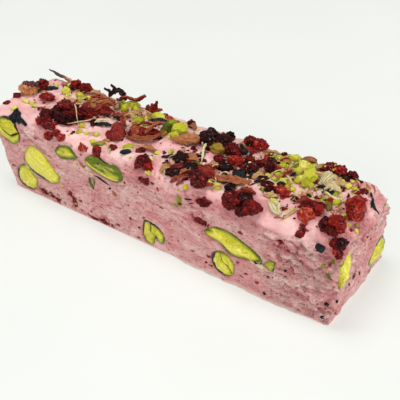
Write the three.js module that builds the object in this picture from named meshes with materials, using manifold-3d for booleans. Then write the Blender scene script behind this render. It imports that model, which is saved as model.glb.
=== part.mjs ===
// A hand-cut bar of soft rose nougat with whole pistachios set in it. Its sides and ends are knife cut,
// its top is the rumpled skin of the slab, dressed with dried berries, petals, husks and chopped nuts.
// Millimetres, +Z up. X runs along the bar, -Y is the front face, the origin is the middle of the base.
import * as THREE from 'three';
import { mergeVertices } from 'three/addons/utils/BufferGeometryUtils.js';
import Module from 'manifold-3d';

const wasm = await Module();
wasm.setup();

// Driving dimensions of the bar
const LENGTH = 121;
const WIDTH = 30;
const HEIGHT = 28;
const SHOULDER = 5; // radius where the top skin turns down into the long sides
const NEAR_ROLL = 4; // radius where the top skin turns down into the near end, at +X
const FAR_ROLL = 2.5; // the same at the far end, at -X
const FAR_LEAN = 4; // how far the top of the far end hangs out
const CUT_EDGE = 0.8; // radius of the knife-cut edges
const CLEARANCE = 0.3; // between pieces that touch
const PROUD = 0.2; // how far a cut kernel stands out of the cut face
const KERNEL_DEPTH = 4.2; // from the cut face to the bottom of a kernel

// How finely the bar's skin is divided
const STATION_STEP = 3.6;
const END_STATIONS = [0, 0.5, 1.6, 3.6];
const CAP_RINGS = [0.78, 0.42];
const SECTION_STEPS = { base: 4, foot: 1, side: 4, shoulder: 3, top: 5 };
const LARGE_LUMP = 80; // square millimetres above which a piece of the dressing has more faces
const EGG_POINTS = 10;
const SLIVER_STEPS = 5;

// ---------------------------------------------------------------- small tools

// A repeatable stream of numbers from 0 to 1
function randomStream(seed) {
  let state = seed;
  return () => {
    state = (state + 0x6d2b79f5) | 0;
    let t = Math.imul(state ^ (state >>> 15), 1 | state);
    t = (t + Math.imul(t ^ (t >>> 7), 61 | t)) ^ t;
    return ((t ^ (t >>> 14)) >>> 0) / 4294967296;
  };
}

// 0 at low, 1 at high and eased between them, whichever of the two is the larger
function ramp(low, high, value) {
  const t = THREE.MathUtils.clamp((value - low) / (high - low), 0, 1);
  return t * t * (3 - 2 * t);
}

const mound = (offset, radius) => Math.exp(-((offset / radius) ** 2));

function solidOf(geometry) {
  const bare = geometry.index ? geometry.toNonIndexed() : geometry.clone();
  bare.deleteAttribute('normal');
  bare.deleteAttribute('uv');
  const merged = mergeVertices(bare, 1e-4);
  const vertProperties = new Float32Array(merged.attributes.position.array);
  const triVerts = new Uint32Array(merged.index.array);
  return new wasm.Manifold(new wasm.Mesh({ numProp: 3, vertProperties, triVerts }));
}

function geometryOf(solid) {
  const { vertProperties, triVerts } = solid.getMesh();
  const geometry = new THREE.BufferGeometry();
  geometry.setAttribute('position', new THREE.BufferAttribute(vertProperties, 3));
  geometry.setIndex(new THREE.BufferAttribute(triVerts, 1));
  geometry.computeVertexNormals();
  return geometry;
}

// Cutting can leave a loose crumb behind: only the largest body is kept
function largestBody(solid) {
  const bodies = solid.decompose();
  return bodies.reduce((best, body) => (body.volume() > best.volume() ? body : best));
}

// A closed skin over rings of points, with a single point closing each end
function skinOver(rings, firstTip, lastTip) {
  const count = rings[0].length;
  const points = [firstTip, ...rings.flat(), lastTip];
  const faces = [];
  const at = (ring, k) => 1 + ring * count + (k % count);
  for (let k = 0; k < count; k += 1) {
    faces.push(0, at(0, k + 1), at(0, k));
    faces.push(points.length - 1, at(rings.length - 1, k), at(rings.length - 1, k + 1));
    for (let ring = 0; ring + 1 < rings.length; ring += 1) {
      faces.push(at(ring, k), at(ring, k + 1), at(ring + 1, k));
      faces.push(at(ring, k + 1), at(ring + 1, k + 1), at(ring + 1, k));
    }
  }
  const geometry = new THREE.BufferGeometry().setFromPoints(points);
  geometry.setIndex(faces);
  return geometry;
}

// ---------------------------------------------------------------- the nougat's form

// Swells of the top skin: x, y, radius along, radius across, height
const TOP_SWELLS = [
  [-44, -12, 9, 5, 0.9],
  [-22, -9, 8, 6, -0.7],
  [-4, -12, 9, 5, 0.8],
  [10, 3, 8, 8, 0.5],
  [24, -8, 7, 6, -0.5],
  [50, -11, 8, 5, 1.0],
  [42, 6, 9, 7, 0.6],
  [-52, 6, 8, 8, 0.4],
];

// Slow, uneven waves over a face, about -1 to 1
function rumple(u, v, phase) {
  return (
    0.5 * Math.sin(0.21 * u + 0.33 * v + phase)
    + 0.3 * Math.sin(0.47 * u - 0.29 * v + 1.7 * phase)
    + 0.2 * Math.sin(0.83 * u + 0.71 * v + 2.9 * phase)
  );
}

function topSwell(x, y) {
  const waves = 0.35 * rumple(x, y, 1.3);
  const raised = (sum, [cx, cy, rx, ry, height]) => sum + height * mound(x - cx, rx) * mound(y - cy, ry);
  return TOP_SWELLS.reduce(raised, waves);
}

// The far end leans out as it rises, most of all under its front corner
function farBulge(y, z) {
  const skin = ramp(18, 26, z) * (FAR_LEAN - 2.5 + 1.5 * ramp(6, -6, y));
  return -1.0 + 3.0 * ramp(0, 20, z) + skin + 0.3 * rumple(y, z, 2.2);
}

// The near end bulges over a crease under the skin
function nearBulge(y, z) {
  const crease = -0.8 * mound(z - 21, 1.6) * ramp(-9, -3, y) * ramp(17, 13, y);
  const overhang = 0.9 * mound(z - 25, 3) * ramp(-4, 6, y);
  const lean = 1.2 * ramp(0, 20, z) * ramp(-8, -15, y);
  return -1.0 * ramp(5, 0, z) + crease + overhang + lean + 0.35 * rumple(y, z, 0.7);
}

// The back edge of the near end pinches in above and below a bulge
function backPinch(z) {
  return -1.3 * mound(z - 23.5, 2.6) + 1.0 * mound(z - 18.5, 2.2) - 1.0 * mound(z - 12.5, 3);
}

// Moves a point of the plain rounded bar to where the real skin lies
function settle(point) {
  const { x, y, z } = point;
  const aboveBase = ramp(0, 4, z);
  const nearEnd = ramp(LENGTH / 2 - 14, LENGTH / 2, x);
  const farEnd = ramp(LENGTH / 2 - 14, LENGTH / 2, -x);
  const front = ramp(4, WIDTH / 2, -y);
  const back = ramp(4, WIDTH / 2, y);
  const torn = ramp(43, 55, x);
  const frontRelief = (0.25 + 0.2 * torn) * rumple(1.4 * x, 1.7 * z, 0.4);
  const backRelief = 0.3 * rumple(1.2 * x, 1.5 * z, 3.1) + nearEnd * backPinch(z);
  const cornerLean = nearEnd * front * ramp(0, 18, z);
  point.x += nearEnd * nearBulge(y, z) - farEnd * farBulge(y, z);
  point.y += aboveBase * (back * backRelief - front * frontRelief) + 0.5 * (z / HEIGHT) + cornerLean;
  point.z += ramp(HEIGHT / 2, HEIGHT, z) * topSwell(x, y);
  return point;
}

// Corner points of a cut across the bar, counter-clockwise seen from +X, starting at the front base edge
function section(width, height) {
  const half = width / 2;
  const shoulder = Math.min(SHOULDER, height - CUT_EDGE);
  const points = [];
  const line = (fromY, fromZ, toY, toZ, steps) => {
    for (let k = 0; k < steps; k += 1) {
      points.push([fromY + ((toY - fromY) * k) / steps, fromZ + ((toZ - fromZ) * k) / steps]);
    }
  };
  const arc = (cy, cz, radius, startAngle, steps) => {
    for (let k = 0; k < steps; k += 1) {
      const angle = startAngle + ((Math.PI / 2) * k) / steps;
      points.push([cy + radius * Math.cos(angle), cz + radius * Math.sin(angle)]);
    }
  };
  const { base, foot, side, shoulder: bend, top } = SECTION_STEPS;
  line(-half + CUT_EDGE, 0, half - CUT_EDGE, 0, base);
  arc(half - CUT_EDGE, CUT_EDGE, CUT_EDGE, -Math.PI / 2, foot);
  line(half, CUT_EDGE, half, height - shoulder, side);
  arc(half - shoulder, height - shoulder, shoulder, 0, bend);
  line(half - shoulder, height, -half + shoulder, height, top);
  arc(-half + shoulder, height - shoulder, shoulder, Math.PI / 2, bend);
  line(-half, height - shoulder, -half, CUT_EDGE, side);
  arc(-half + CUT_EDGE, CUT_EDGE, CUT_EDGE, Math.PI, foot);
  return points;
}

const rounding = (radius, fromEnd) => {
  const rest = Math.max(0, radius - fromEnd);
  return radius - Math.sqrt(radius * radius - rest * rest);
};

// The bar without its pockets, grown outwards by a margin
function barSolid(margin) {
  const halfLength = LENGTH / 2 + margin;
  const inner = LENGTH / 2 - Math.max(...END_STATIONS) - STATION_STEP / 2;
  const middle = Math.round((2 * inner) / STATION_STEP);
  const stations = [];
  for (const t of END_STATIONS) stations.push(t - halfLength);
  for (let k = 0; k <= middle; k += 1) stations.push(-inner + (2 * inner * k) / middle);
  for (const t of [...END_STATIONS].reverse()) stations.push(halfLength - t);

  const ringAt = (x) => {
    const fromEnd = halfLength - Math.abs(x);
    const width = WIDTH + 2 * margin - 2 * rounding(CUT_EDGE, fromEnd);
    const height = HEIGHT + margin - rounding(x > 0 ? NEAR_ROLL : FAR_ROLL, fromEnd);
    return section(width, height).map(([y, z]) => new THREE.Vector3(x, y, z));
  };
  const middleZ = HEIGHT / 2;
  const drawnIn = ({ x, y, z }, factor) => new THREE.Vector3(x, y * factor, middleZ + (z - middleZ) * factor);
  const shrunk = (ring, factor) => ring.map((point) => drawnIn(point, factor));
  const firstRing = ringAt(stations[0]);
  const lastRing = ringAt(stations[stations.length - 1]);
  const rings = [
    ...[...CAP_RINGS].reverse().map((factor) => shrunk(firstRing, factor)),
    ...stations.map(ringAt),
    ...CAP_RINGS.map((factor) => shrunk(lastRing, factor)),
  ];
  const settled = rings.map((ring) => ring.map(settle));
  const tip = (x) => settle(new THREE.Vector3(x, 0, middleZ));
  return solidOf(skinOver(settled, tip(-halfLength), tip(halfLength)));
}

// Height of the top skin over a point of the base
function skinHeight(x, y) {
  const pastShoulder = Math.max(0, Math.abs(y - 0.5) - (WIDTH / 2 - SHOULDER));
  const drop = rounding(SHOULDER, SHOULDER - Math.min(pastShoulder, SHOULDER));
  const roll = x > 0 ? NEAR_ROLL : FAR_ROLL;
  const reach = x > 0 ? LENGTH / 2 : LENGTH / 2 + FAR_LEAN;
  const pastEnd = Math.max(0, Math.abs(x) - (reach - roll));
  return HEIGHT - drop - rounding(roll, roll - Math.min(pastEnd, roll)) + topSwell(x, y);
}

const bar = barSolid(0);
const proudBar = barSolid(PROUD);
const clearBar = barSolid(CLEARANCE);

// ---------------------------------------------------------------- pistachio kernels set in the cut faces

// Each face's own axes: u runs along it, v up it, w straight out of it
const FACES = {
  front: { u: [1, 0, 0], w: [0, -1, 0], out: WIDTH / 2 },
  back: { u: [-1, 0, 0], w: [0, 1, 0], out: WIDTH / 2 },
  near: { u: [0, 1, 0], w: [1, 0, 0], out: LENGTH / 2 },
  far: { u: [0, -1, 0], w: [-1, 0, 0], out: LENGTH / 2 },
};

// An egg-shaped kernel outline: centre, length, width, turn in degrees, and how much blunter its first end is
function egg(cu, cv, length, width, turn, blunt = 0.18) {
  const points = [];
  for (let k = 0; k < EGG_POINTS; k += 1) {
    const angle = (2 * Math.PI * k) / EGG_POINTS;
    const along = (length / 2) * Math.cos(angle);
    const across = (width / 2) * Math.sin(angle) * (1 - blunt * Math.cos(angle));
    const tilt = THREE.MathUtils.degToRad(turn);
    points.push([
      cu + along * Math.cos(tilt) - across * Math.sin(tilt),
      cv + along * Math.sin(tilt) + across * Math.cos(tilt),
    ]);
  }
  return points;
}

// Outlines where the knife met each kernel, as u, v pairs, counter-clockwise
const KERNELS = {
  kernel_front_1: ['front', [[-62, 24], [-61.2, 20.6], [-58.5, 19.2], [-56, 18.2], [-53.6, 19.2],
    [-51.5, 21.3], [-50.9, 23.2], [-52.4, 25.2], [-54.2, 26.8], [-57.5, 27], [-60.5, 26.4]]],
  kernel_front_2: ['front', [[-56.7, 6], [-56, 3.9], [-54.2, 2.8], [-52, 2.3], [-50, 2.9], [-48.2, 4.4],
    [-47.2, 6.8], [-48.2, 8.8], [-50, 10.6], [-52.2, 11.6], [-54.2, 10.5], [-55.8, 8.5]]],
  kernel_front_3: ['front', [[-51.2, 14.2], [-49, 12.6], [-46.5, 11], [-43, 10.3], [-39, 10.4], [-36.4, 11.2],
    [-35.6, 12.9], [-37.5, 14.2], [-39.5, 16.6], [-41, 18.8], [-43.5, 20.1], [-46.8, 20.3], [-49, 18.6]]],
  kernel_front_4: ['front', [[-34.5, 22.8], [-33.6, 21.3], [-31.6, 20.7], [-29.6, 21.3], [-27.5, 22.6],
    [-25.2, 23.8], [-27.2, 25.2], [-28.8, 26.1], [-31, 25.5], [-33.2, 24.6]]],
  kernel_front_5: ['front', [[-22, 23.2], [-20.5, 21.6], [-17.6, 20.8], [-14.5, 20.3], [-11, 20.2],
    [-8.5, 21], [-7.2, 22.8], [-7.6, 25], [-9, 26], [-11.4, 25], [-14.5, 25.8], [-18, 26.3], [-20.6, 25.4]]],
  kernel_front_6: ['front', [[-1.9, 6.5], [-2.1, 4], [-1.4, 2], [0.2, 1.3], [1.6, 1.6], [2.2, 3.4],
    [2.9, 4.6], [3.9, 3.6], [5.2, 3.4], [6.1, 5], [6, 7.2], [4.6, 8.8], [2.5, 9.8], [0, 10.2], [-1.3, 9.3]]],
  kernel_front_7: ['front', [[21.6, 15.1], [23.5, 14.2], [26.3, 13.8], [28.4, 12.1], [30.6, 11.4], [33.2, 12],
    [36, 12.5], [38.4, 13.3], [39.8, 14.4], [38, 15.4], [35.5, 16.6], [32, 18], [28.5, 18.6], [25.5, 18.5],
    [23.2, 17]]],
  kernel_front_8: ['front', [[23.3, 5.9], [24.2, 4.1], [25.7, 2.8], [27.5, 2.4], [29.3, 3.3], [30.2, 5.4],
    [30.2, 7.8], [29.2, 9.8], [27.4, 10.8], [25.5, 10.5], [24, 9.2], [23.3, 7.6]]],
  kernel_front_9: ['front', [[40.3, 13], [41.2, 11.8], [42.2, 11], [43.1, 11.6], [43.5, 13.4], [43.6, 14.9],
    [42.5, 14.6], [41.4, 13.9]]],
  kernel_near_1: ['near', [[-16, 17.5], [-14.2, 14.3], [-12.8, 13], [-11.2, 13.4], [-9.5, 15.6], [-7.6, 17.3],
    [-6.7, 19], [-7.4, 20.6], [-9, 21.8], [-11, 21.9], [-13.2, 20.8], [-15.6, 19.4]]],
  kernel_near_2: ['near', [[5.6, 7], [6.4, 5.5], [8, 4.4], [10.5, 3.3], [13, 3.1], [15.6, 3.8], [16.5, 6.4],
    [15, 9.2], [13, 11.2], [11, 11.5], [9, 10.5], [7, 8.9]]],
  kernel_far_1: ['far', egg(3.5, 18.5, 11, 7, 25)],
  kernel_far_2: ['far', egg(-6.5, 7, 9, 7.5, 100)],
  kernel_back_1: ['back', egg(-51, 20.5, 14, 7, 160)],
  kernel_back_2: ['back', egg(-38, 8, 10, 8, 60)],
  kernel_back_3: ['back', egg(-21, 17, 16, 7.5, 12)],
  kernel_back_4: ['back', egg(-4, 6.5, 11, 7, -30)],
  kernel_back_5: ['back', egg(13, 19, 13, 6.5, 175)],
  kernel_back_6: ['back', egg(29, 9, 15, 7.5, -20)],
};

// The middle of the area inside an outline
function middleOf(outline) {
  const middle = new THREE.Vector2();
  let doubleArea = 0;
  outline.forEach(([a, b], k) => {
    const [c, d] = outline[(k + 1) % outline.length];
    const cross = a * d - b * c;
    doubleArea += cross;
    middle.add(new THREE.Vector2(a + c, b + d).multiplyScalar(cross));
  });
  return middle.divideScalar(3 * doubleArea);
}

// The way out of an outline across the edge that starts at point k
function edgeNormal(outline, k) {
  const [a, b] = outline[(k + outline.length) % outline.length];
  const [c, d] = outline[(k + 1) % outline.length];
  return new THREE.Vector2(d - b, a - c).normalize();
}

// The whole kernel behind an outline: straight where it leaves the face, bowl-shaped inside
function kernelPlug([face, outline], margin) {
  const { u, w, out } = FACES[face];
  const uAxis = new THREE.Vector3(...u);
  const wAxis = new THREE.Vector3(...w);
  const vAxis = new THREE.Vector3(0, 0, 1);
  const centre = middleOf(outline);
  const place = (a, b, depth) => new THREE.Vector3()
    .addScaledVector(uAxis, a)
    .addScaledVector(vAxis, b)
    .addScaledVector(wAxis, out - depth);
  const outwards = outline.map((_, k) => edgeNormal(outline, k - 1).add(edgeNormal(outline, k)).normalize());
  const ringAt = (scale, depth) => outline.map(([a, b], k) => place(
    centre.x + (a - centre.x) * scale + outwards[k].x * margin,
    centre.y + (b - centre.y) * scale + outwards[k].y * margin,
    depth,
  ));
  const deepest = KERNEL_DEPTH + margin;
  const rings = [
    ringAt(0.5, 0.92 * deepest),
    ringAt(0.96, 0.4 * deepest),
    ringAt(1, -3),
  ];
  return solidOf(skinOver(rings, place(centre.x, centre.y, deepest), place(centre.x, centre.y, -3)));
}

const GREEN_NUT = { color: 0xb9bf4a, roughness: 0.55 };
const kernels = Object.entries(KERNELS).map(([name, spec]) => ({
  name,
  colour: GREEN_NUT,
  solid: largestBody(kernelPlug(spec, 0).intersect(proudBar)),
  pocket: kernelPlug(spec, CLEARANCE),
}));

// ---------------------------------------------------------------- dressing on the top skin

// Each piece: x, y of its middle, length, width, height, turn in degrees
const DRESSING = {
  fruit_amber: [-60.2, 0, 7, 5, 6.4, 20],
  berry_far: [-59.2, 5.2, 4.6, 4.2, 4.2, 10],
  raisin: [-52.3, 0.4, 6, 3.6, 3, 5],
  berry_crimson: [-48.4, 10, 4.2, 3.6, 4, 60],
  berry_dusk: [-44.4, 10.6, 4.6, 3.8, 3.8, 20],
  nut_far: [-49.3, 6.2, 3.4, 3.4, 3.8, 70],
  hibiscus: [-38.2, -4.8, 12, 9, 5.2, -20],
  raspberry_string: [-41.2, -10.6, 7.5, 5, 4, -50],
  crumb_red_front: [-33.2, -12.9, 5, 3.6, 3, 15],
  petal_bundle: [-31.6, 3, 13, 8.4, 4.5, 10],
  nut_slice: [-25.8, 8.4, 4.4, 4.8, 3.4, 20],
  nut_lime: [-12.8, 9, 5, 3, 2.8, 5],
  wrinkled_skin: [-17.2, -4.2, 8, 7, 3, 120],
  rosehip: [-9.6, -0.9, 10.5, 7.4, 4.4, 15],
  nut_large: [-3, 5.2, 7, 7.6, 4.4, -15],
  walnut: [3.9, 2.8, 8.5, 4.4, 4, 35],
  berry_front: [-0.5, -12.2, 6.6, 5.2, 4, 30],
  berry_black: [11.5, 5.9, 10.4, 8, 5.2, 10],
  berry_black_small: [18.4, 4.6, 5, 4.2, 4, -20],
  berry_bright: [21.4, 1.4, 5, 3.2, 3, 20],
  berry_back: [21.7, 11, 7.5, 4.4, 4.2, 10],
  berry_round: [26.8, 0.2, 4.6, 4.2, 3.2, 0],
  berry_round_back: [31.7, 3.4, 4.6, 3.8, 3.2, 40],
  berry_maroon: [18, -11.3, 5.6, 5.4, 4.2, 0],
  berry_striped: [33.2, -12.4, 11, 7.5, 5, -10],
  nut_near: [42.6, 3.4, 5, 6.6, 4.2, 0],
  nut_back: [39.2, 8.4, 5, 3.8, 3.2, -15],
  husk_tan: [48.8, 4.4, 6.4, 6, 3.8, -10],
  berry_back_near: [46.8, 10.4, 6, 4.2, 4, -25],
  berry_back_end: [52, 11, 4.6, 3.4, 3.4, -20],
  raspberry_half: [58.3, -0.8, 5.2, 8, 4.6, 5],
  berry_long: [49.9, -8, 6.4, 8.4, 4, 20],
  berry_near: [57.1, -9.3, 6.4, 6, 4.6, 30],
  berry_corner: [60, -12.9, 4.4, 5, 5.4, 0],
};

// Twigs, petals and leaf flakes: thin, wavy, lying or standing. Points of the middle line, then width
// and thickness
const SLIVERS = {
  leaf_black: [[[-54.8, -11, 28.2], [-51.4, -12.6, 28], [-47.8, -13.6, 27]], 3.6, 0.9],
  twig_far: [[[-52.4, 12.4, 28.6], [-57.6, 12.9, 29.4], [-63, 13, 30.4]], 1.2, 0.9],
  leaf_standing: [[[-35.6, 11.6, 28.4], [-34.4, 12, 31], [-31.6, 12.2, 32.4], [-28.2, 12, 31]], 2.4, 0.9],
  petal_back: [[[-30.6, 11.4, 28.6], [-25.3, 12, 30], [-20, 12.4, 32]], 2.4, 0.9],
  petal_spiky: [[[-17, 10, 28.4], [-15.6, 10.6, 30.4], [-14.2, 11, 32.4]], 3.4, 1],
  petal_salmon: [[[20.6, -6.8, 29], [25, -5.9, 29.3], [29.6, -4.8, 28.9]], 2.6, 0.9],
};

const DRESSING_COLOURS = {
  fruit: { color: 0xb9783f, roughness: 0.5 },
  nut: { color: 0xb4c03c, roughness: 0.6 },
  walnut: { color: 0xc0874f, roughness: 0.6 },
  husk: { color: 0xbda876, roughness: 0.8 },
  leaf: { color: 0x23282d, roughness: 0.6 },
  twig: { color: 0x5b3a2a, roughness: 0.8 },
  petal: { color: 0x9c4a3e, roughness: 0.7 },
  berry: { color: 0x6d1a22, roughness: 0.45 },
};
const colourFor = (name) => DRESSING_COLOURS[name.split('_')[0]] ?? DRESSING_COLOURS.berry;

// A knobbly dried lump
function lump([x, y, length, width, height, turn], seed, margin) {
  const detail = length * width > LARGE_LUMP ? 2 : 1;
  const ball = new THREE.IcosahedronGeometry(1, detail);
  const random = randomStream(seed);
  const phases = [0, 0, 0].map(() => 6 * random());
  const position = ball.attributes.position;
  const point = new THREE.Vector3();
  for (let k = 0; k < position.count; k += 1) {
    point.fromBufferAttribute(position, k);
    const knobs = Math.sin(4.1 * point.x + phases[0]) * Math.sin(3.7 * point.y + phases[1])
      + 0.6 * Math.sin(5.3 * point.z + phases[2] + 2 * point.x);
    point.multiplyScalar(1 + 0.1 * knobs);
    point.multiply(new THREE.Vector3(length / 2 + margin, width / 2 + margin, height / 2 + margin));
    position.setXYZ(k, point.x, point.y, point.z);
  }
  ball.rotateZ(THREE.MathUtils.degToRad(turn));
  ball.translate(x, y, skinHeight(x, y) + 0.28 * height);
  return solidOf(ball);
}

// A thin wavy strip along a curve, pointed at both ends
function sliver([route, width, thickness], margin) {
  const places = route.map((place) => new THREE.Vector3(...place));
  const curve = new THREE.CatmullRomCurve3(places);
  const rings = [];
  for (let k = 0; k <= SLIVER_STEPS; k += 1) {
    const along = k / SLIVER_STEPS;
    const middle = curve.getPointAt(along);
    const ahead = curve.getTangentAt(along);
    const side = new THREE.Vector3(-ahead.y, ahead.x, 0).normalize();
    const up = new THREE.Vector3().crossVectors(ahead, side);
    const leaf = 0.3 + 0.7 * Math.sin(Math.PI * Math.min(1, along * 0.85 + 0.08));
    const halfWidth = (width / 2) * leaf * (1 + 0.15 * Math.sin(9 * along)) + margin;
    const halfThick = thickness / 2 + margin;
    const ring = [[1, 0], [0.4, 1], [-0.4, 1], [-1, 0], [-0.4, -1], [0.4, -1]];
    rings.push(ring.map(([a, b]) => middle.clone()
      .addScaledVector(side, a * halfWidth)
      .addScaledVector(up, b * halfThick + 0.25 * Math.sin(7 * along) * Math.abs(a))));
  }
  const reach = 0.4 + margin;
  const firstTip = places[0].clone().addScaledVector(curve.getTangentAt(0), -reach);
  const lastTip = places[places.length - 1].clone().addScaledVector(curve.getTangentAt(1), reach);
  return solidOf(skinOver(rings, firstTip, lastTip));
}

// Pieces keep clear of the skin, of the kernels and of the pieces laid before them
const laid = kernels.map(({ pocket }) => pocket);
const dressing = [];
function lay(name, shape, grown) {
  let piece = shape.subtract(clearBar);
  for (const other of laid) piece = piece.subtract(other);
  laid.push(grown);
  dressing.push({ name, colour: colourFor(name), solid: largestBody(piece) });
}
Object.entries(DRESSING).forEach(([name, size], k) => {
  lay(name, lump(size, 11 + k, 0), lump(size, 11 + k, CLEARANCE));
});
Object.entries(SLIVERS).forEach(([name, size]) => {
  lay(name, sliver(size, 0), sliver(size, CLEARANCE));
});

// ---------------------------------------------------------------- crumbs pressed into the top skin

// Patches of chopped nut and berry crumbs: x and y range, how many, smallest and largest size
const CRUMB_PATCHES = [
  [-58, -44, -8, 12, 4, 1.5, 2.4],
  [-44, -26, -12, 12, 5, 1.5, 2.4],
  [-26, -8, -11, 12, 7, 1.5, 2.6],
  [-8, 14, -12, 12, 7, 1.5, 2.6],
  [14, 32, -12, 12, 8, 1.6, 2.8],
  [32, 46, -10, 12, 9, 1.6, 3.0],
  [44, 57, -6, 11, 5, 1.6, 2.6],
];

function crumbSpots() {
  const random = randomStream(77);
  const spots = [];
  const crowded = (x, y, reach) => Object.values(DRESSING).some(
    ([dx, dy, length, width]) => Math.hypot(x - dx, y - dy) < Math.max(length, width) / 2 + reach + 0.6,
  ) || Object.values(SLIVERS).some(
    ([route, width]) => route.some(([sx, sy]) => Math.hypot(x - sx, y - sy) < width / 2 + reach + 2.2),
  ) || spots.some(([sx, sy, , size]) => Math.hypot(x - sx, y - sy) < (size + reach) / 2 + reach / 2 + 0.3);
  for (const [x0, x1, y0, y1, count, small, large] of CRUMB_PATCHES) {
    for (let k = 0, tries = 0; k < count && tries < 60; tries += 1) {
      const x = x0 + (x1 - x0) * random();
      const y = y0 + (y1 - y0) * random();
      const size = small + (large - small) * random() ** 2;
      const turn = Math.PI * random();
      if (!crowded(x, y, size / 2)) {
        spots.push([x, y, turn, size]);
        k += 1;
      }
    }
  }
  return spots;
}

function crumb([x, y, turn, size]) {
  const nib = new THREE.IcosahedronGeometry(1, 0);
  nib.rotateX(0.5 + turn);
  nib.scale(0.55 * size, 0.4 * size, 0.36 * size);
  nib.rotateZ(turn);
  nib.translate(x, y, skinHeight(x, y) + 0.1 * size);
  return solidOf(nib);
}

let nougat = bar;
for (const { pocket } of kernels) nougat = nougat.subtract(pocket);
for (const spot of crumbSpots()) nougat = nougat.add(crumb(spot));

// ---------------------------------------------------------------- the bar put together

const group = new THREE.Group();
function addPiece(name, solid, { color, roughness }) {
  const material = new THREE.MeshStandardMaterial({ color, roughness, metalness: 0 });
  const mesh = new THREE.Mesh(geometryOf(solid), material);
  mesh.name = name;
  group.add(mesh);
}

addPiece('nougat', largestBody(nougat), { color: 0xd9a3a0, roughness: 0.75 });
for (const { name, solid, colour } of [...kernels, ...dressing]) addPiece(name, solid, colour);

export default group;
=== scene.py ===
"""A hand-cut bar of rose nougat with pistachio kernels in its cut faces, dressed on top with dried
berries, petals, husks, seeds and chopped nuts. Millimetres in the code, metres in the meshes; X runs
along the bar, -Y is the front face, +Z is up, and the origin is the middle of the base."""

from math import copysign, cos, degrees, hypot, pi, radians, sin, sqrt

import bmesh
import bpy
import numpy as np
from mathutils import Matrix, Vector, noise
from mathutils.bvhtree import BVHTree


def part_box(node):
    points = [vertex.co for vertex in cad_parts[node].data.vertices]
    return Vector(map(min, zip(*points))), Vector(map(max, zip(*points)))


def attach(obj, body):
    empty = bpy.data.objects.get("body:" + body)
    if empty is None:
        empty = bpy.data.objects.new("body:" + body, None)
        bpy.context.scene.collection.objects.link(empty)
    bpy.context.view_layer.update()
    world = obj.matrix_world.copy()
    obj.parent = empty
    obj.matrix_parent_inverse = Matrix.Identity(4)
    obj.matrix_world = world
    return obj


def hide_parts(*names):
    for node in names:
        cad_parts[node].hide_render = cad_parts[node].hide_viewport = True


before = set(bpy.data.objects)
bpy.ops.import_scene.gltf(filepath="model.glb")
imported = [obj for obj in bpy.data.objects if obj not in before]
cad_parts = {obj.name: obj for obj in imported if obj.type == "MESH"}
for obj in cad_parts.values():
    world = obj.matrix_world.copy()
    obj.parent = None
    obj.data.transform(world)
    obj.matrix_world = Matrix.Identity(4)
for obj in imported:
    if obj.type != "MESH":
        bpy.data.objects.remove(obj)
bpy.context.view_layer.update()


# ---------------------------------------------------------------- camera, floor and light
# A close look down on the front and the near end of the bar, on a plain white board that runs out
# of sight, evenly lit by large soft lights all round; the board itself glows a little, as a light
# table does, so that shadows on it stay faint.

MM = 0.001
LOOK = {"azimuth": 39.7, "elevation": 37.3, "roll": -5.2, "lens": 63, "place": (114, -127, 137)}


def aim_camera(azimuth, elevation, roll, lens, place):
    data = bpy.data.cameras.new("camera")
    data.lens = lens
    data.sensor_width = 36
    data.clip_start = 0.005
    camera = bpy.data.objects.new("camera", data)
    bpy.context.collection.objects.link(camera)
    turn, rise, lean = (radians(angle) for angle in (azimuth, elevation, roll))
    back = Vector((sin(turn) * cos(rise), -cos(turn) * cos(rise), sin(rise)))
    right = Vector((0, 0, 1)).cross(back).normalized()
    up = back.cross(right)
    level = Matrix((right, up, back)).transposed().to_4x4()
    camera.matrix_world = Matrix.Translation(Vector(place) * MM) @ level @ Matrix.Rotation(lean, 4, "Z")
    return camera


bpy.context.scene.camera = aim_camera(**LOOK)
bpy.context.scene.view_settings.view_transform = "Standard"


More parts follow.
